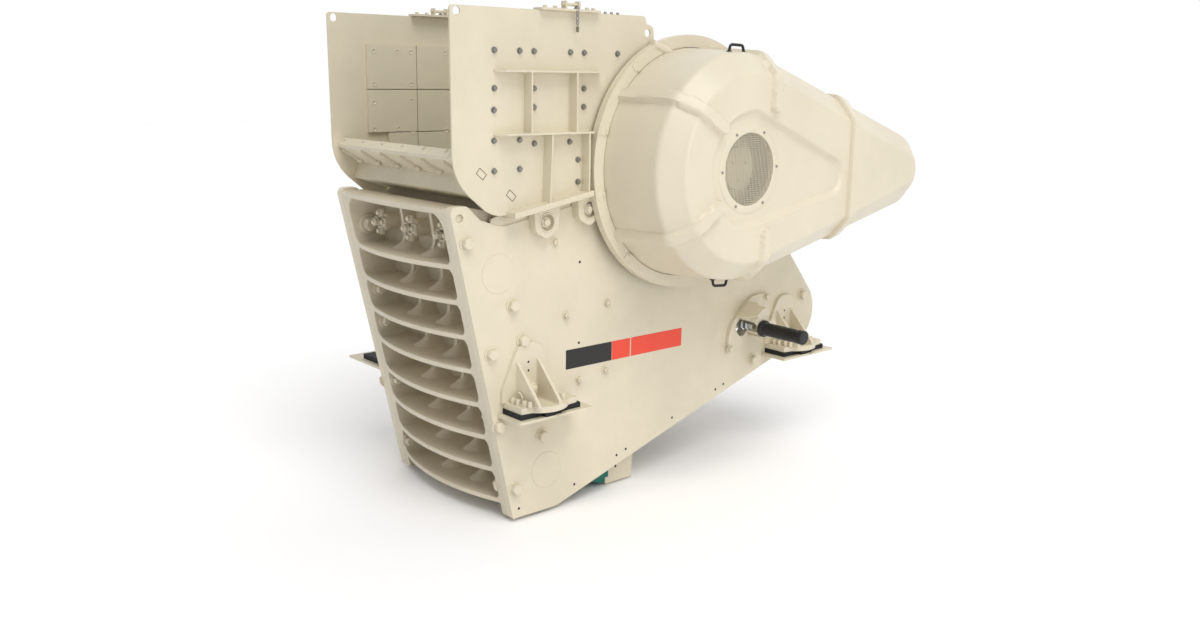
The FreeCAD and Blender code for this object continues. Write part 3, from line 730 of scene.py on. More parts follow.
# %% Ribs and dish
FACE_RIBS = [((1.690, 2.895), (1.376, 3.096)), ((1.676, 2.322), (1.355, 2.097)),
             ((2.268, 3.040), (2.282, 3.460)), ((2.222, 2.095), (2.205, 1.700))]
WALL_RIBS = [(142.0, -1.5), (214.7, -0.2), (74.5, 0.0), (281.0, 0.0)]
RIB_HALF, RIB_RISE = 0.056, 0.040
PANEL_R, PANEL_END_R, PANEL_END = 0.402, 0.140, Vector((3.0, 2.48))


def soft_step(t):
    t = min(1.0, max(0.0, t))
    return t * t * (3 - 2 * t)


def to_line(p, a, b):
    """Distance from a (y, z) point to a line with two ends."""
    a, b = Vector(a), Vector(b)
    t = (p - a).dot(b - a) / (b - a).length_squared
    return (p - a.lerp(b, min(1.0, max(0.0, t)))).length


def proud(x, p):
    """How far the moulding stands out at one point."""
    high = 0.0
    out = p - SHAFT
    turn = math.degrees(math.atan2(out.y, out.x)) % 360
    if x > FACE_X - 0.13:
        for a, b in FACE_RIBS:
            high = max(high, soft_step((RIB_HALF - to_line(p, a, b)) / 0.016))
    if x < FACE_X - 0.05 and (out.length > 0.78) and p.x < 2.5:
        for middle, drift in WALL_RIBS:
            off = abs(turn - middle + drift * (FACE_X - 0.155 - x) / 0.5)
            high = max(high, soft_step((RIB_HALF - math.radians(off) * out.length) / 0.022))
    return high * RIB_RISE


def dished(p, tailed):
    """1 in the sunk panel round the window, 0 outside it."""
    deep = (p - SHAFT).length - PANEL_R
    if tailed:
        run = PANEL_END - SHAFT
        t = min(1.0, max(0.0, (p - SHAFT).dot(run) / run.length_squared))
        narrowing = PANEL_R - PANEL_END_R
        slope = narrowing / run.length
        across = (p - SHAFT - run * t).length
        deep = min(deep, across * math.sqrt(1 - slope ** 2) - (PANEL_R - narrowing * t))
    return soft_step((0.024 - deep) / 0.048)


# %% Growing the two covers
def grow_cover(tailed, face_rows):
    count = ROUND_STEPS + 2 * LINE_STEPS + TAIL_STEPS if tailed else 300
    flat = [(x, teardrop(DRUM_R - i, TAIL_R - j) if tailed else circle(DRUM_R - i, count))
            for x, i, j in PROFILE]
    edge_x, edge = flat[-1]
    hole = circle(WINDOW_R, count)
    if tailed:
        ends = []
        first = math.atan2(edge[0].y - SHAFT.y, edge[0].x - SHAFT.x)
        last_round = edge[ROUND_STEPS]
        span = (math.atan2(last_round.y - SHAFT.y, last_round.x - SHAFT.x) - first) % (2 * math.pi)
        rest = count - ROUND_STEPS
        for k in range(count):
            if k < ROUND_STEPS:
                turn = first + span * k / ROUND_STEPS
            else:
                turn = first + span + (2 * math.pi - span) * (k - ROUND_STEPS) / rest
            ends.append(turn)
        hole = [Vector((SHAFT.x + WINDOW_R * math.cos(t), SHAFT.y + WINDOW_R * math.sin(t)))
                for t in ends]
    for row in range(1, face_rows + 1):
        t = row / face_rows
        flat.append((edge_x, [a.lerp(b, t) for a, b in zip(edge, hole)]))
    bm = bmesh.new()
    rows = []
    for x, ring in flat:
        rows.append([bm.verts.new(at(x - DISH * dished(p, tailed) * (x > FACE_X - 0.02),
                                     p.x, p.y)) for p in ring])
    for a, b in zip(rows, rows[1:]):
        for i in range(count):
            j = (i + 1) % count
            bm.faces.new((a[i], a[j], b[j], b[i]))
    bm.normal_update()
    if rows[2][0].normal.dot(rows[2][0].co - at(BACK_X, SHAFT.x, SHAFT.y)) < 0:
        bmesh.ops.reverse_faces(bm, faces=bm.faces[:])
        bm.normal_update()
    pushed = []
    for (x, ring), row in zip(flat, rows):
        pushed += [(v, v.normal * proud(x, p)) for p, v in zip(ring, row)]
    for v, push in pushed:
        v.co += push
    middle = at(0, SHAFT.x, SHAFT.y)
    for row, inwards, backwards in ((rows[0], 1, 0), (rows[-1], 0, 3.75)):
        for hem in (0.003, 0.008):
            fresh = []
            for v in row:
                arm = Vector((0, v.co.y - middle.y, v.co.z - middle.z)).normalized()
                fresh.append(bm.verts.new(v.co - arm * hem * inwards
                                          - Vector((hem * backwards, 0, 0))))
            for i in range(count):
                j = (i + 1) % count
                bm.faces.new((row[i], row[j], fresh[j], fresh[i]))
            row = fresh
    bmesh.ops.recalc_face_normals(bm, faces=bm.faces[:])
    return bm


belt_cover = grow_cover(True, 78)
print("belt cover:", len(belt_cover.faces), "faces")
fit("belt_guard_skin", belt_cover, guard_gloss, "paint",
    stands_for=("belt_guard_cover",), crease=50)
round_cover = mirrored(grow_cover(False, 34))
print("round cover:", len(round_cover.faces), "faces")
fit("round_guard_skin", round_cover, guard_gloss, "paint",
    stands_for=("round_guard_cover",), crease=50)

# %% Band round the tail
def tail_section(y):
    """The cover's outline, bottom to top, where a level plane at y cuts it."""
    low, high = [], []
    for x, i, j in PROFILE:
        ring = teardrop(DRUM_R - i, TAIL_R - j)
        cuts = []
        for a, b in zip(ring, ring[1:] + ring[:1]):
            if (a.x - y) * (b.x - y) <= 0 and a.x != b.x:
                cuts.append(a.y + (b.y - a.y) * (y - a.x) / (b.x - a.x))
        low.append(Vector((x, y, min(cuts))))
        high.append(Vector((x, y, max(cuts))))
    return low + [low[-1].lerp(high[-1], k / 12) for k in range(1, 12)] + high[::-1]


BAND_Y = 3.268
BAND_FORM = [(-0.054, -0.004), (-0.049, 0.024), (-0.040, 0.036), (0.040, 0.036),
             (0.049, 0.024), (0.054, -0.004)]
lines = [tail_section(BAND_Y + dy) for dy, _ in BAND_FORM]
band = bmesh.new()
rings = []
for k in range(len(lines[0])):
    ring = []
    for line, (_, lift) in zip(lines, BAND_FORM):
        along = line[min(k + 1, len(line) - 1)] - line[max(k - 1, 0)]
        ring.append(at(*(line[k] + Vector((along.z, 0, -along.x)).normalized() * lift)))
    rings.append(ring)
skin(band, rings)
bmesh.ops.recalc_face_normals(band, faces=band.faces[:])
fit("guard_tail_band", band, guard_gloss, "paint", crease=40)
print("tail band:", len(rings), "sections")

# %% [markdown]
# ## Windows, handles and clips
#
# In the middle of each cover a round window of wire mesh lets a fitter see the
# hub. A see-through texture would do from afar, but real wires look right at
# every distance: two layers of thin bars, cut to the length of the chord, and
# a pressed ring with six screws that holds them. Black bow handles lift the
# covers, and clips along the rim hold them shut.

# %% Window mesh and its ring
MESH_X = FACE_X - DISH - 0.006
wires = bmesh.new()
pitch = 0.016
count = int(WINDOW_R / pitch)
for k in range(-count, count + 1):
    off = k * pitch
    half = math.sqrt(WINDOW_R ** 2 - off ** 2)
    bar(wires, at(MESH_X, SHAFT.x + off, SHAFT.y - half),
        at(MESH_X, SHAFT.x + off, SHAFT.y + half), 0.0045, 0.003, (1, 0, 0), 0)
    bar(wires, at(MESH_X - 0.003, SHAFT.x - half, SHAFT.y + off),
        at(MESH_X - 0.003, SHAFT.x + half, SHAFT.y + off), 0.0045, 0.003, (1, 0, 0), 0)
print("window:", 2 * (2 * count + 1), "wires a side")
for side, mesh_bm in (("right", wires), ("left", mirrored(wires))):
    fit("window_mesh_" + side, mesh_bm, cream, "mesh", stands_for=("guard_window_" + side,))

ring = bmesh.new()
ring_steps = [(WINDOW_R - 0.002, -0.010), (WINDOW_R - 0.002, 0.003), (WINDOW_R + 0.003, 0.006),
              (0.326, 0.006), (0.332, 0.003), (0.334, -0.002), (WINDOW_R, -0.011)]
base = at(FACE_X - DISH, SHAFT.x, SHAFT.y)
rings = []
for r, h in ring_steps:
    rings.append([base + Vector((h, r * math.cos(t), r * math.sin(t)))
                  for t in (2 * math.pi * k / 72 for k in range(72))])
skin(ring, rings, caps=False)
bmesh.ops.recalc_face_normals(ring, faces=ring.faces[:])
fit_pair("window_ring", ring, guard_gloss, "paint")

screws = bmesh.new()
for k in range(6):
    t = math.radians(60 * k + 2)
    spot = at(FACE_X - DISH + 0.006, SHAFT.x + 0.301 * math.cos(t), SHAFT.y + 0.301 * math.sin(t))
    turned(screws, spot, (1, 0, 0), [(0.011, 0), (0.011, 0.003), (0.007, 0.006)], 12)
    hexagon(screws, spot + Vector((0.003, 0, 0)), (1, 0, 0), 0.013, 0.006, t)
fit_pair("window_screws", screws, zinc, "rod")

# %% Handles
def bow(bm, a, b, out, radius=0.011):
    """Black bow handle between two feet, standing out from the cover."""
    a, b, out = Vector(a), Vector(b), Vector(out)
    along = (b - a).normalized()
    pipe(bm, bend([a, a + out + along * 0.012, b + out - along * 0.012, b], 0.03), radius, 12)
    for foot in (a, b):
        turned(bm, foot - out.normalized() * 0.004, out,
               [(0.022, 0), (0.022, 0.006), (0.016, 0.010)], 16)


handles = bmesh.new()
bow(handles, at(1.36, 1.985, 3.428), at(1.36, 2.145, 3.424), (0, 0, 0.050))
bow(handles, at(1.36, 1.900, 1.742), at(1.36, 2.060, 1.728), (0, 0, -0.050))
fit_pair("guard_handles", handles, black, "cylinder")
tail_handle = bmesh.new()
bow(tail_handle, at(1.32, 2.90, 3.165), at(1.32, 3.03, 3.110), (0, 0.012, 0.034), 0.008)
fit("tail_handle", tail_handle, black, "cylinder")

# %% Clips round the rim
clips = bmesh.new()
for turn in (128, 163, 192, 228, 300, 20):
    t = math.radians(turn)
    arm = Vector((0, math.cos(t), math.sin(t)))
    round_ = Vector((0, -math.sin(t), math.cos(t)))
    seat = at(0.921, SHAFT.x, SHAFT.y) + arm * 0.930
    bar(clips, seat - round_ * 0.035, seat + round_ * 0.035, 0.060, 0.008, (1, 0, 0), 0.002)
    bar(clips, seat - arm * 0.030 + Vector((0.004, 0, 0)) - round_ * 0.020,
        seat - arm * 0.030 + Vector((0.004, 0, 0)) + round_ * 0.020, 0.020, 0.016,
        (1, 0, 0), 0.003)
fit_pair("guard_clips", clips, guard_gloss, "paint")

latch = bmesh.new()
turned(latch, at(0.885, 1.66, 3.478), (0.15, 0.78, -0.30),
       [(0.018, 0), (0.034, 0.006), (0.034, 0.150), (0.022, 0.156), (0.022, 0.190)], 20)
bar(latch, at(0.885, 1.66, 3.445), at(0.885, 1.83, 3.405), 0.070, 0.020, (0, 0.2, 1), 0.004)
fit_pair("guard_latch", latch, guard_gloss, "paint")
print("guards fitted")

# %% [markdown]
# ## Bolts on the side plates
#
# Big hexagon bolts clamp the plates to the castings, smaller ones hold the
# wear plates inside. They are turned one by one into a single piece a side.
# Each head is set at its own angle, as a wrench leaves it.

# %% Side plate fittings
random.seed(7)
BIG = [(0.05, 2.11), (0.44, 1.63), (0.53, 1.36), (0.25, 1.30), (0.31, 0.75), (0.71, 0.60),
       (0.46, 0.24), (3.08, 0.80), (3.73, 1.31)]
SMALL = [(0.83, 2.05), (0.94, 1.49), (1.35, 1.53), (1.07, 0.97), (1.34, 1.00)]
HOLES = [(1.07, 1.88), (1.07, 1.26), (0.50, 0.07), (1.04, 0.13), (1.48, 0.27), (1.58, 0.30),
         (1.47, 0.18), (2.10, 0.46), (2.62, 0.61), (2.72, 0.64)]
PLUGS = [(0.32, 1.87), (0.76, 0.32)]
bolts = bmesh.new()
for y, z in BIG:
    bolt(bolts, at(OUT, y, z), (1, 0, 0), 0.074, random.random())
for y, z in SMALL:
    bolt(bolts, at(OUT, y, z), (1, 0, 0), 0.046, random.random(), 1.12)
    turned(bolts, at(OUT, y, z), (1, 0, 0), [(0.011, 0.0), (0.011, 0.040), (0.009, 0.043)], 14)
fit_pair("plate_bolts", bolts, cream, "paint")
# painted shade: each hole is a shallow cup in dark enamel, standing in for the shade inside it
drilled = bmesh.new()
for y, z in HOLES:
    turned(drilled, at(OUT - 0.002, y, z), (1, 0, 0), [(0.0105, 0), (0.0105, 0.0026), (0.009, 0.0026),
                                                       (0.008, 0.0022)], 18)
fit_pair("plate_holes", drilled, inside, "cylinder")
plugs = bmesh.new()
for y, z in PLUGS:
    turned(plugs, at(OUT - 0.001, y, z), (1, 0, 0), [(0.140, 0), (0.140, 0.0030), (0.1385, 0.0042)],
           72)
fit_pair("plate_plugs", plugs, cream, "paint")
print(len(BIG) + len(SMALL), "bolts and", len(HOLES), "holes a side")

# %% Plain strip on the plates
for side, flip in (("right", False), ("left", True)):
    for part, y0, y1, finish in (("dark", 0.943, 1.405, strip_dark),
                                 ("bright", 1.409, 1.600, strip_red),
                                 ("long", 1.612, 2.179, strip_red)):
        strip = bmesh.new()
        side_plate_piece(strip, [(y0, 1.069, 0.003), (y1, 1.069, 0.003), (y1, 1.219, 0.003),
                                 (y0, 1.219, 0.003)], OUT - 0.001, OUT + 0.0015)
        fit("strip_" + part + "_" + side, mirrored(strip) if flip else strip, finish, "paint")

# %% [markdown]
# ## Inside the ribbed casting
#
# The top pocket of the casting shows three clamps that hold the fixed die: a
# turned barrel from the back wall, a square flange with four nuts, and the
# tie rod's end with its lock nuts. The other pockets show bolt ends on their
# side walls, and a flange collar on each lug hole.

# %% Die clamps and bolt ends
clamps = bmesh.new()
back_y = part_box("jaw_clamps")[1].y - ANCHOR.y
front = back_y - 0.150
z = 2.125
for x in (-0.425, 0.0, 0.425):
    turned(clamps, at(x, back_y, z), (0, -1, 0),
           [(0.078, 0), (0.078, 0.018), (0.066, 0.026), (0.066, 0.100), (0.071, 0.112),
            (0.071, 0.146), (0.066, 0.150)], 36)
    for wide, tall in ((0.052, 0.190), (0.150, 0.070)):
        ring = [at(x + sx * wide / 2, front, z + sz * tall / 2)
                for sx, sz in ((-1, -1), (1, -1), (1, 1), (-1, 1))]
        slab(clamps, ring, (0, -0.026, 0), 0.003)
    for dx, dz in ((-0.052, 0), (0.052, 0), (0, 0.070), (0, -0.070)):
        bolt(clamps, at(x + dx, front - 0.026, z + dz), (0, -1, 0), 0.034, dx * 9, 0.9)
    turned(clamps, at(x, front, z), (0, -1, 0), [(0.017, 0), (0.017, 0.088), (0.014, 0.092)], 16)
    hexagon(clamps, at(x, front - 0.026, z), (0, -1, 0), 0.052, 0.026, 0.3)
    hexagon(clamps, at(x, front - 0.056, z), (0, -1, 0), 0.052, 0.024, 0.5)
fit("die_clamps", clamps, cream_cast, "paint", stands_for=("jaw_clamps",))

ends = bmesh.new()
for side in (-1, 1):
    turned(ends, at(side * 0.65, 0.115, 2.085), (-side, 0, 0),
           [(0.080, 0), (0.080, 0.012), (0.074, 0.016)], 40)
    hexagon(ends, at(side * 0.634, 0.115, 2.085), (-side, 0, 0), 0.100, 0.055, 0.2)
    for y, z in ((0.195, 1.560), (0.240, 1.290), (0.330, 0.790), (0.425, 0.240)):
        turned(ends, at(side * 0.65, y, z), (-side, 0, 0),
               [(0.056, 0), (0.056, 0.008), (0.052, 0.011)], 32)
        hexagon(ends, at(side * 0.639, y, z), (-side, 0, 0), 0.070, 0.042, z)
fit("casting_bolt_ends", ends, cream_cast, "paint")

eyes = bmesh.new()
turned(eyes, at(OUT - 0.020, 0, 2.284), (1, 0, 0), [(0.0298, 0), (0.0298, 0.004)], 32)
for t in range(6):
    a = math.radians(60 * t)
    turned(eyes, at(OUT - 0.017, 0.018 * math.cos(a), 2.284 + 0.018 * math.sin(a)), (1, 0, 0),
           [(0.005, 0), (0.005, 0.003)], 10)
fit_pair("lug_plugs", eyes, cream, "paint")

# %% [markdown]
# ## Sweeping the webs into the ribs
#
# A casting has no bare inside corner: the moulder sweeps each web out into the
# rib below it, so that the iron doesn't crack there. Seen from the front the
# web's edge draws a J. Each sweep is grown from level slices: low slices reach
# further forwards and are wider, high ones keep the web's own thickness.

# %% Sweeps at the webs' feet
LOW_RIB, PITCH, RIB_T, WEB_HALF = 0.092, 0.260, 0.035, 0.018


def front_y(z):
    return 0.445 - 0.2229 * z


POCKETS, WEBS = 8, (-0.200, 0.200)
sweeps = bmesh.new()
for k in range(POCKETS):
    foot_z = LOW_RIB + PITCH * k + RIB_T - 0.004
    tall, reach = (0.300, 0.230) if k == POCKETS - 1 else (0.228, 0.150)
    for web in WEBS:
        slices = []
        for step in range(15):
            t = step / 14
            nose = front_y(foot_z) + 0.055 + reach * (1 - (1 - t) ** 2.6)
            half = WEB_HALF + 0.085 * (1 - t) ** 5 + 0.012 * t ** 9
            back = front_y(foot_z) + 0.400
            z = foot_z + tall * t
            arc = [at(web + half * math.cos(a), nose + half * 0.9 * (1 - math.sin(a)), z)
                   for a in (math.pi * c / 10 for c in range(11))]
            slices.append(arc + [at(web - half, back, z), at(web + half, back, z)])
        skin(sweeps, slices)
bmesh.ops.recalc_face_normals(sweeps, faces=sweeps.faces[:])
fit("casting_web_sweeps", sweeps, cream_cast, "paint", crease=50)
print("casting dressed; web sweeps:", POCKETS * len(WEBS))

# %% [markdown]
# ## The feed hopper's fittings
#
# The hopper is bolted plate, lined with wear plates. Outside show the zinc
# plated heads of the liners' bolts, the slots where tabs come through, and a
# small lifting plate with its chain. Inside show the countersunk heads. Along
# the front lip runs a strip in lengths, and under it fins and round heads.
# Below, an apron closes the gap to the casting and a skirt the one to the
# side plates.

# %% Bolts through the hopper's sides
HOP = 0.825
HEADS = ([(y, 3.398) for y in (0.261, 0.472, 0.596, 0.920, 1.048, 1.367)]
         + [(y, 3.148) for y in (0.260, 0.596, 1.048)]
         + [(0.255, 3.005), (0.596, 3.020), (1.048, 3.020), (0.255, 2.800), (0.472, 2.800),
            (0.600, 2.772), (0.920, 2.775), (1.000, 2.645), (1.000, 2.485),
            (0.255, 2.595), (0.472, 2.600)])
heads = bmesh.new()
for y, z in HEADS:
    bolt(heads, at(HOP, y, z), (1, 0, 0), 0.030, random.random(), 1.0)
fit_pair("hopper_bolts", heads, zinc, "rod")
inner = bmesh.new()
for y, z in HEADS:
    if z > 2.6 and y > 0.24:
        turned(inner, at(0.7835, y + 0.02, z), (-1, 0, 0),
               [(0.022, 0), (0.022, 0.0016), (0.012, 0.0020), (0.010, 0.0008)], 20)
fit_pair("liner_bolts", inner, cream, "paint")

TAB_LONG, TAB_HIGH, TAB_TILT, GROOVE = 0.072, 0.046, math.radians(-40), 0.0012
# painted shade: each slot is a thin groove in dark enamel, standing in for the shade in the gap
tabs = bmesh.new()
for y, z in ((0.15, 2.58), (0.40, 2.42)):
    a = Vector((math.cos(TAB_TILT), math.sin(TAB_TILT))) * TAB_LONG / 2
    b = Vector((-math.sin(TAB_TILT), math.cos(TAB_TILT))) * TAB_HIGH / 2
    mid = Vector((y, z))
    corners = [mid - a - b, mid + a - b, mid + a + b, mid - a + b]
    for p, q in zip(corners, corners[1:] + corners[:1]):
        bar(tabs, at(HOP + GROOVE / 2, p.x, p.y), at(HOP + GROOVE / 2, q.x, q.y), 0.0035,
            GROOVE, (1, 0, 0), 0)
fit_pair("tab_slots", tabs, inside, "cylinder")

# %% The lip's strip, fins and heads
LIP_CUTS, LIP_GAP = (-0.665, -0.390, -0.115, 0.160, 0.435, 0.710), 0.007
lip = bmesh.new()
down = Vector((0, -0.057, -0.045)).normalized() * 0.078
for x0, x1 in zip((-0.80,) + LIP_CUTS, [cut - LIP_GAP for cut in LIP_CUTS] + [0.806]):
    a, b = at(x0, 0.028, 2.733), at(x1, 0.028, 2.733)
    slab(lip, [a, b, b + down, a + down], Vector((0, -0.62, 0.78)) * 0.009, 0.002)
fit("lip_strip", lip, cream, "paint")
under = Vector((0, 0.154, -0.116)).normalized()
fins = bmesh.new()
for x in (-0.714, -0.436, -0.158, 0.120, 0.398, 0.676):
    start = at(x - 0.06, -0.020, 2.655)
    bar(fins, start, start + under * 0.165 + Vector((0.075, 0, 0)), 0.008, 0.020, (0, -0.6, -0.8),
        0.001)
    turned(fins, at(x, 0.103, 2.577), (0, -0.60, -0.80),
           [(0.020, 0), (0.024, 0.006), (0.024, 0.018), (0.016, 0.028), (0.006, 0.031)], 20)
    bolt(fins, at(x - 0.055, 0.012, 2.723), (0, -0.62, 0.78), 0.026, x, 0.9)
fit("lip_fins", fins, cream, "paint")

# %% Covers between the hopper and the frame
apron = bmesh.new()
wide = OUT - 0.070
for (y0, z0), (y1, z1) in (((-0.030, 2.296), (0.300, 2.304)), ((0.294, 2.302), (0.388, 2.354))):
    slab(apron, [at(-wide, y0, z0), at(wide, y0, z0), at(wide, y1, z1), at(-wide, y1, z1)],
         (0, 0, 0.012), 0.002)
fit("chute_apron", apron, cream, "paint")
skirt = bmesh.new()
edge = [(0.250, 2.190), (1.180, 2.250), (1.180, 2.410), (0.360, 2.290), (0.270, 2.262)]
slab(skirt, [at(OUT - 0.030, y, z) for y, z in edge], (0.022, 0, 0), 0.002)
fit_pair("hopper_skirt", skirt, cream, "paint")

# %% Bolts through the hopper's feet, and the weld beads
feet = bmesh.new()
for y, z in ((0.700, 2.212), (1.100, 2.278)):
    turned(feet, at(OUT, y, z), (1, 0, 0), [(0.058, 0), (0.058, 0.008), (0.054, 0.012)], 40)
    hexagon(feet, at(OUT + 0.010, y, z), (1, 0, 0), 0.082, 0.052, y)
    turned(feet, at(OUT + 0.060, y, z), (1, 0, 0), [(0.026, 0), (0.026, 0.012), (0.022, 0.016)], 24)
    ring_r = 0.066
    pipe(feet, [at(0.855, y + ring_r * math.cos(t), z + ring_r * math.sin(t))
                for t in (2 * math.pi * k / 40 for k in range(40))], 0.006, 8, True)
fit_pair("hopper_foot_bolts", feet, cream, "paint")


def weld(bm, a, b, size=0.006):
    """A weld bead: a thin round run laid along a seam."""
    a, b = Vector(a), Vector(b)
    steps = max(4, int((b - a).length / 0.02))
    path = [a.lerp(b, k / steps) for k in range(steps + 1)]
    pipe(bm, path, size, 6)


beads = bmesh.new()
for z in (3.263, 2.841):
    for lift in (-0.008, 0.008):
        weld(beads, at(HOP, 0.262, z + lift), at(HOP, 1.10, z + lift))
for y, z0, z1 in ((0.515, 2.85, 3.255), (0.920, 2.85, 3.255), (1.040, 2.43, 2.83)):
    for shift in (-0.008, 0.008):
        weld(beads, at(HOP, y + shift, z0), at(HOP, y + shift, z1))
fit_pair("hopper_welds", beads, cream, "paint", crease=80)

# %% Lifting plate, shackle and its chain
lift = bmesh.new()
for y in (0.70, 0.79, 1.08, 1.14):
    bolt(lift, at(HOP - 0.01, y, 3.691), (0, 0, 1), 0.026, y, 1.0)
bar(lift, at(HOP + 0.004, 0.86, 3.690), at(HOP + 0.004, 0.86, 3.745), 0.050, 0.012, (0, 1, 0), 0.002)
bar(lift, at(HOP + 0.004, 0.98, 3.690), at(HOP + 0.004, 0.98, 3.745), 0.050, 0.012, (0, 1, 0), 0.002)
turned(lift, at(HOP + 0.004, 0.84, 3.722), (0, 1, 0),
       [(0.012, 0), (0.012, 0.160), (0.010, 0.163)], 16)
fit_pair("lifting_eyes", lift, cream, "paint")
chain = bmesh.new()
LINK = 0.034
for k in range(4):
    drop = 3.690 - 0.030 * k
    swap = k % 2
    points = []
    for s in range(20):
        t = 2 * math.pi * s / 20
        along = math.cos(t) * (LINK / 2)
        aside = math.sin(t) * 0.011
        points.append(at(0.868 + (aside if swap else 0), 0.95 + (0 if swap else aside),
                         drop - along))
    pipe(chain, points, 0.0042, 8, True)
bar(chain, at(0.868, 0.95, 3.575), at(0.868, 0.95, 3.535), 0.024, 0.010, (0, 1, 0), 0.003)
pipe(chain, bend([at(0.830, 0.95, 3.695), at(0.868, 0.95, 3.716), at(0.870, 0.95, 3.700)], 0.01),
     0.005, 8)
fit_pair("lifting_chain", chain, zinc, "rod")
rim = bmesh.new()
for y in (1.25, 1.31, 1.37):
    bolt(rim, at(HOP - 0.007, y, 3.675), (0, 0, 1), 0.020, y, 0.8)
fit_pair("rim_bolts", rim, zinc, "rod")
print("hopper dressed")

# %% [markdown]
# ## Feet and setting adjuster
#
# Each bracket is screwed to its rubber pad by six cap screws and to the plate
# by a large nut between the gussets. The adjuster is a black cylinder on a
# forked yoke. Its bright coupling shows in the slot of the lens shaped plate,
# far enough from the yoke to travel with the wedge, and the cylinder is bored
# so that the rod can run back into it.

# %% Feet
FOOT_TOP = 0.925
for place, step in (("front", 0.0), ("rear", 2.9)):
    feet = bmesh.new()
    for x, y in ((0.855, 0.395), (0.905, 0.397), (0.965, 0.412), (1.010, 0.425),
                 (0.985, 0.742), (0.935, 0.748)):
        spot = at(x, y + step, FOOT_TOP)
        turned(feet, spot, (0, 0, 1), [(0.019, 0), (0.019, 0.004)], 20)
        hexagon(feet, spot + Vector((0, 0, 0.004)), (0, 0, 1), 0.030, 0.040, x * 9)
    nut_at = at(OUT + 0.030, 0.565 + step, 1.010)
    turned(feet, nut_at, (1, 0, 0), [(0.056, 0), (0.056, 0.008), (0.052, 0.012)], 36)
    hexagon(feet, nut_at + Vector((0.012, 0, 0)), (1, 0, 0), 0.082, 0.050, 0.35)
    turned(feet, nut_at + Vector((0.06, 0, 0)), (1, 0, 0),
           [(0.026, 0), (0.026, 0.014), (0.022, 0.018)], 24)
    pipe(feet, bend([at(0.90, 0.440 + step, 0.925), at(0.90, 0.440 + step, 0.985),
                     at(0.862, 0.440 + step, 1.005), at(0.845, 0.440 + step, 0.99)], 0.02), 0.006, 8)
    for lift, y in ((1.200, 0.565), (1.135, 0.565)):
        turned(feet, at(OUT + 0.030, y + step, lift), (1, 0, 0), [(0.009, 0), (0.009, 0.001)], 14)
    for y in (0.467, 0.657):
        for shift in (-0.014, 0.014):
            seam_y = y + shift + step
            weld(feet, at(OUT + 0.030, seam_y, 0.93), at(OUT + 0.030, seam_y, 1.21))
            weld(feet, at(OUT + 0.035, seam_y, 0.927), at(OUT + 0.285, seam_y, 0.927))
    slab(feet, [at(0.995, 0.640 + step, 0.838), at(1.080, 0.640 + step, 0.838),
                at(1.080, 0.715 + step, 0.838), at(0.995, 0.715 + step, 0.838)], (0, 0, 0.008), 0.002)
    fit_pair("foot_fittings_" + place, feet, cream, "paint", crease=50)
# painted shade: each small hole in the gussets is a thin disc of dark enamel, standing in for the shade
# inside it
dark = bmesh.new()
for step in (0.0, 2.9):
    for z in (1.200, 1.135):
        turned(dark, at(OUT + 0.0305, 0.565 + step, z), (1, 0, 0), [(0.0085, 0), (0.0085, 0.0012)], 14)
fit_pair("foot_holes", dark, inside, "cylinder")

# %% Adjuster
ADJ = Vector((2.95, 1.18))
SLOPE = math.radians(41)
BORE_R = 0.034


def along_toggle(x, t, n):
    """Place on the adjuster: t up its slope, n square to it."""
    return at(x, ADJ.x + t * math.cos(SLOPE) - n * math.sin(SLOPE),
              ADJ.y + t * math.sin(SLOPE) + n * math.cos(SLOPE))


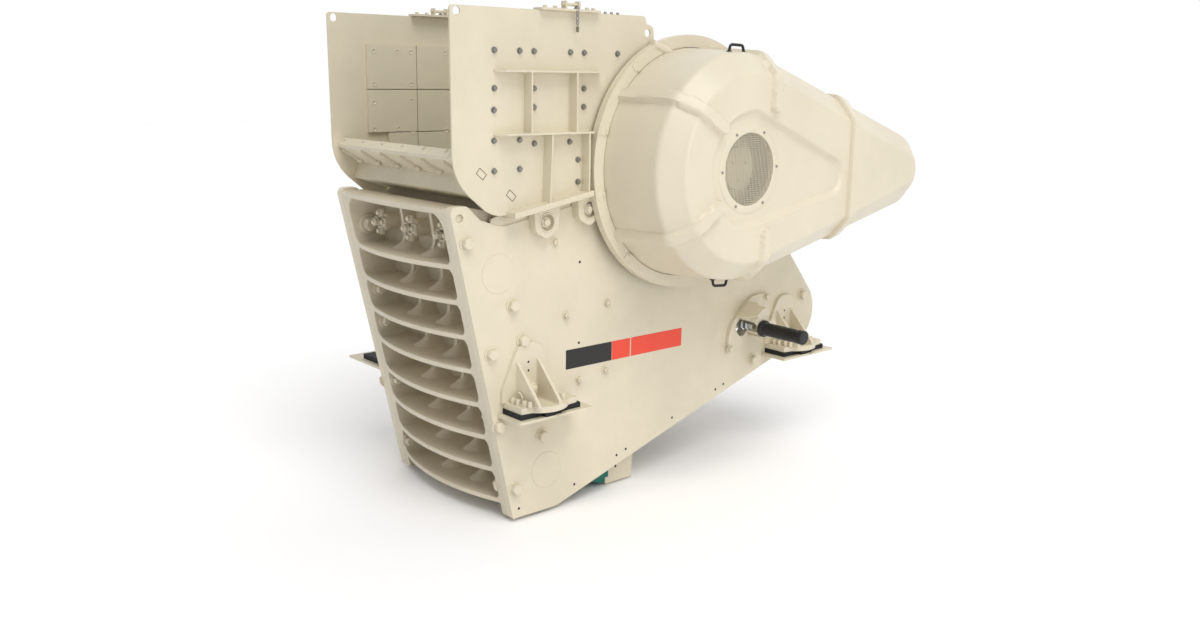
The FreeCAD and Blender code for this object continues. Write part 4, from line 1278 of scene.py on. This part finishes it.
# (x, half size, width) of the nuts; the left rod runs close to its slot's end.
COUPLING = {"right": ((OUT - 0.024, 0.046, 0.040), (OUT + 0.016, 0.054, 0.030),
                      (OUT + 0.046, 0.044, 0.046)),
            "left": ((OUT + 0.041, 0.052, 0.024), (OUT + 0.065, 0.044, 0.027))}
for side, t, flip in (("right", -0.042, False), ("left", 0.084, True)):
    yoke = bmesh.new()
    for tt, nn in ((-0.300, -0.035), (0.305, -0.020)):
        bolt(yoke, along_toggle(OUT + 0.035, tt, nn), (1, 0, 0), 0.046, tt, 1.05)
    for n in (-0.118, 0.118):
        outline = [along_toggle(OUT + 0.035, -0.060, n), along_toggle(OUT + 0.035, 0.110, n),
                   along_toggle(OUT + 0.150, 0.110, n), along_toggle(OUT + 0.250, 0.060, n),
                   along_toggle(OUT + 0.250, -0.020, n), along_toggle(OUT + 0.150, -0.060, n)]
        up = along_toggle(0, 0, 1) - along_toggle(0, 0, 0)
        slab(yoke, outline, up * (0.020 if n > 0 else -0.020), 0.003)
    fit("adjuster_yoke_" + side, mirrored(yoke) if flip else yoke, cream, "paint")
    body = bmesh.new()
    spot = along_toggle(OUT + 0.240, t, 0)
    turned(body, spot, (1, 0, 0),
           [(BORE_R, 0.400), (BORE_R, 0.0), (0.069, 0), (0.072, 0.004), (0.072, 0.030),
            (0.060, 0.036), (0.0565, 0.042), (0.0565, 0.392), (0.060, 0.396), (0.060, 0.440),
            (0.056, 0.449), (0.030, 0.4505)], 48)
    for k in range(4):
        a = math.radians(45 + 90 * k)
        hexagon(body, spot + Vector((0.030, 0.058 * math.cos(a), 0.058 * math.sin(a))), (1, 0, 0),
                0.016, 0.012, a)
    turned(body, along_toggle(OUT + 0.300, t, 0.05), along_toggle(0, 0, 1) - along_toggle(0, 0, 0),
           [(0.016, 0), (0.016, 0.022), (0.012, 0.026), (0.012, 0.034)], 16)
    turned(body, along_toggle(OUT + 0.620, t, 0.05), along_toggle(0, 0, 1) - along_toggle(0, 0, 0),
           [(0.016, 0), (0.016, 0.016), (0.012, 0.020)], 16)
    fit("cylinder_body_" + side, mirrored(body) if flip else body, black, "cylinder",
        stands_for=("adjuster_cylinder_" + side,))
    bright = bmesh.new()
    for x, r, w in COUPLING[side]:
        hexagon(bright, along_toggle(x, t, 0), (1, 0, 0), r * 1.7, w, x * 7)
    fit("coupling_" + side, mirrored(bright) if flip else bright, chrome, "rod",
        body="adjuster_" + side)
print("adjusters dressed")

# %% [markdown]
# ## The rotor and the back
#
# Behind the guards the flywheels sit on clamping hubs, seen through the wire
# mesh. Each hub gets its ring of screws and a shaft cover. They ride on the
# rotor, so they turn with it.

# %% Hubs and shaft ends
hub = bmesh.new()
hub_x = 1.365
turned(hub, at(hub_x, SHAFT.x, SHAFT.y), (1, 0, 0),
       [(0.232, 0), (0.232, 0.012), (0.226, 0.018), (0.165, 0.018), (0.160, 0.030), (0.158, 0.078)], 60)
for k in range(12):
    a = math.radians(30 * k)
    bolt(hub, at(hub_x + 0.018, SHAFT.x + 0.197 * math.cos(a), SHAFT.y + 0.197 * math.sin(a)),
         (1, 0, 0), 0.030, a, 0.9)
for k in range(3):
    a = math.radians(120 * k + 30)
    bolt(hub, at(hub_x + 0.078, SHAFT.x + 0.085 * math.cos(a), SHAFT.y + 0.085 * math.sin(a)),
         (1, 0, 0), 0.024, a, 0.9)
fit_pair("hub", hub, cream, "paint", body="rotor")
print("rotor dressed")

# %% Colour view
scene.view_settings.view_transform = "Standard"
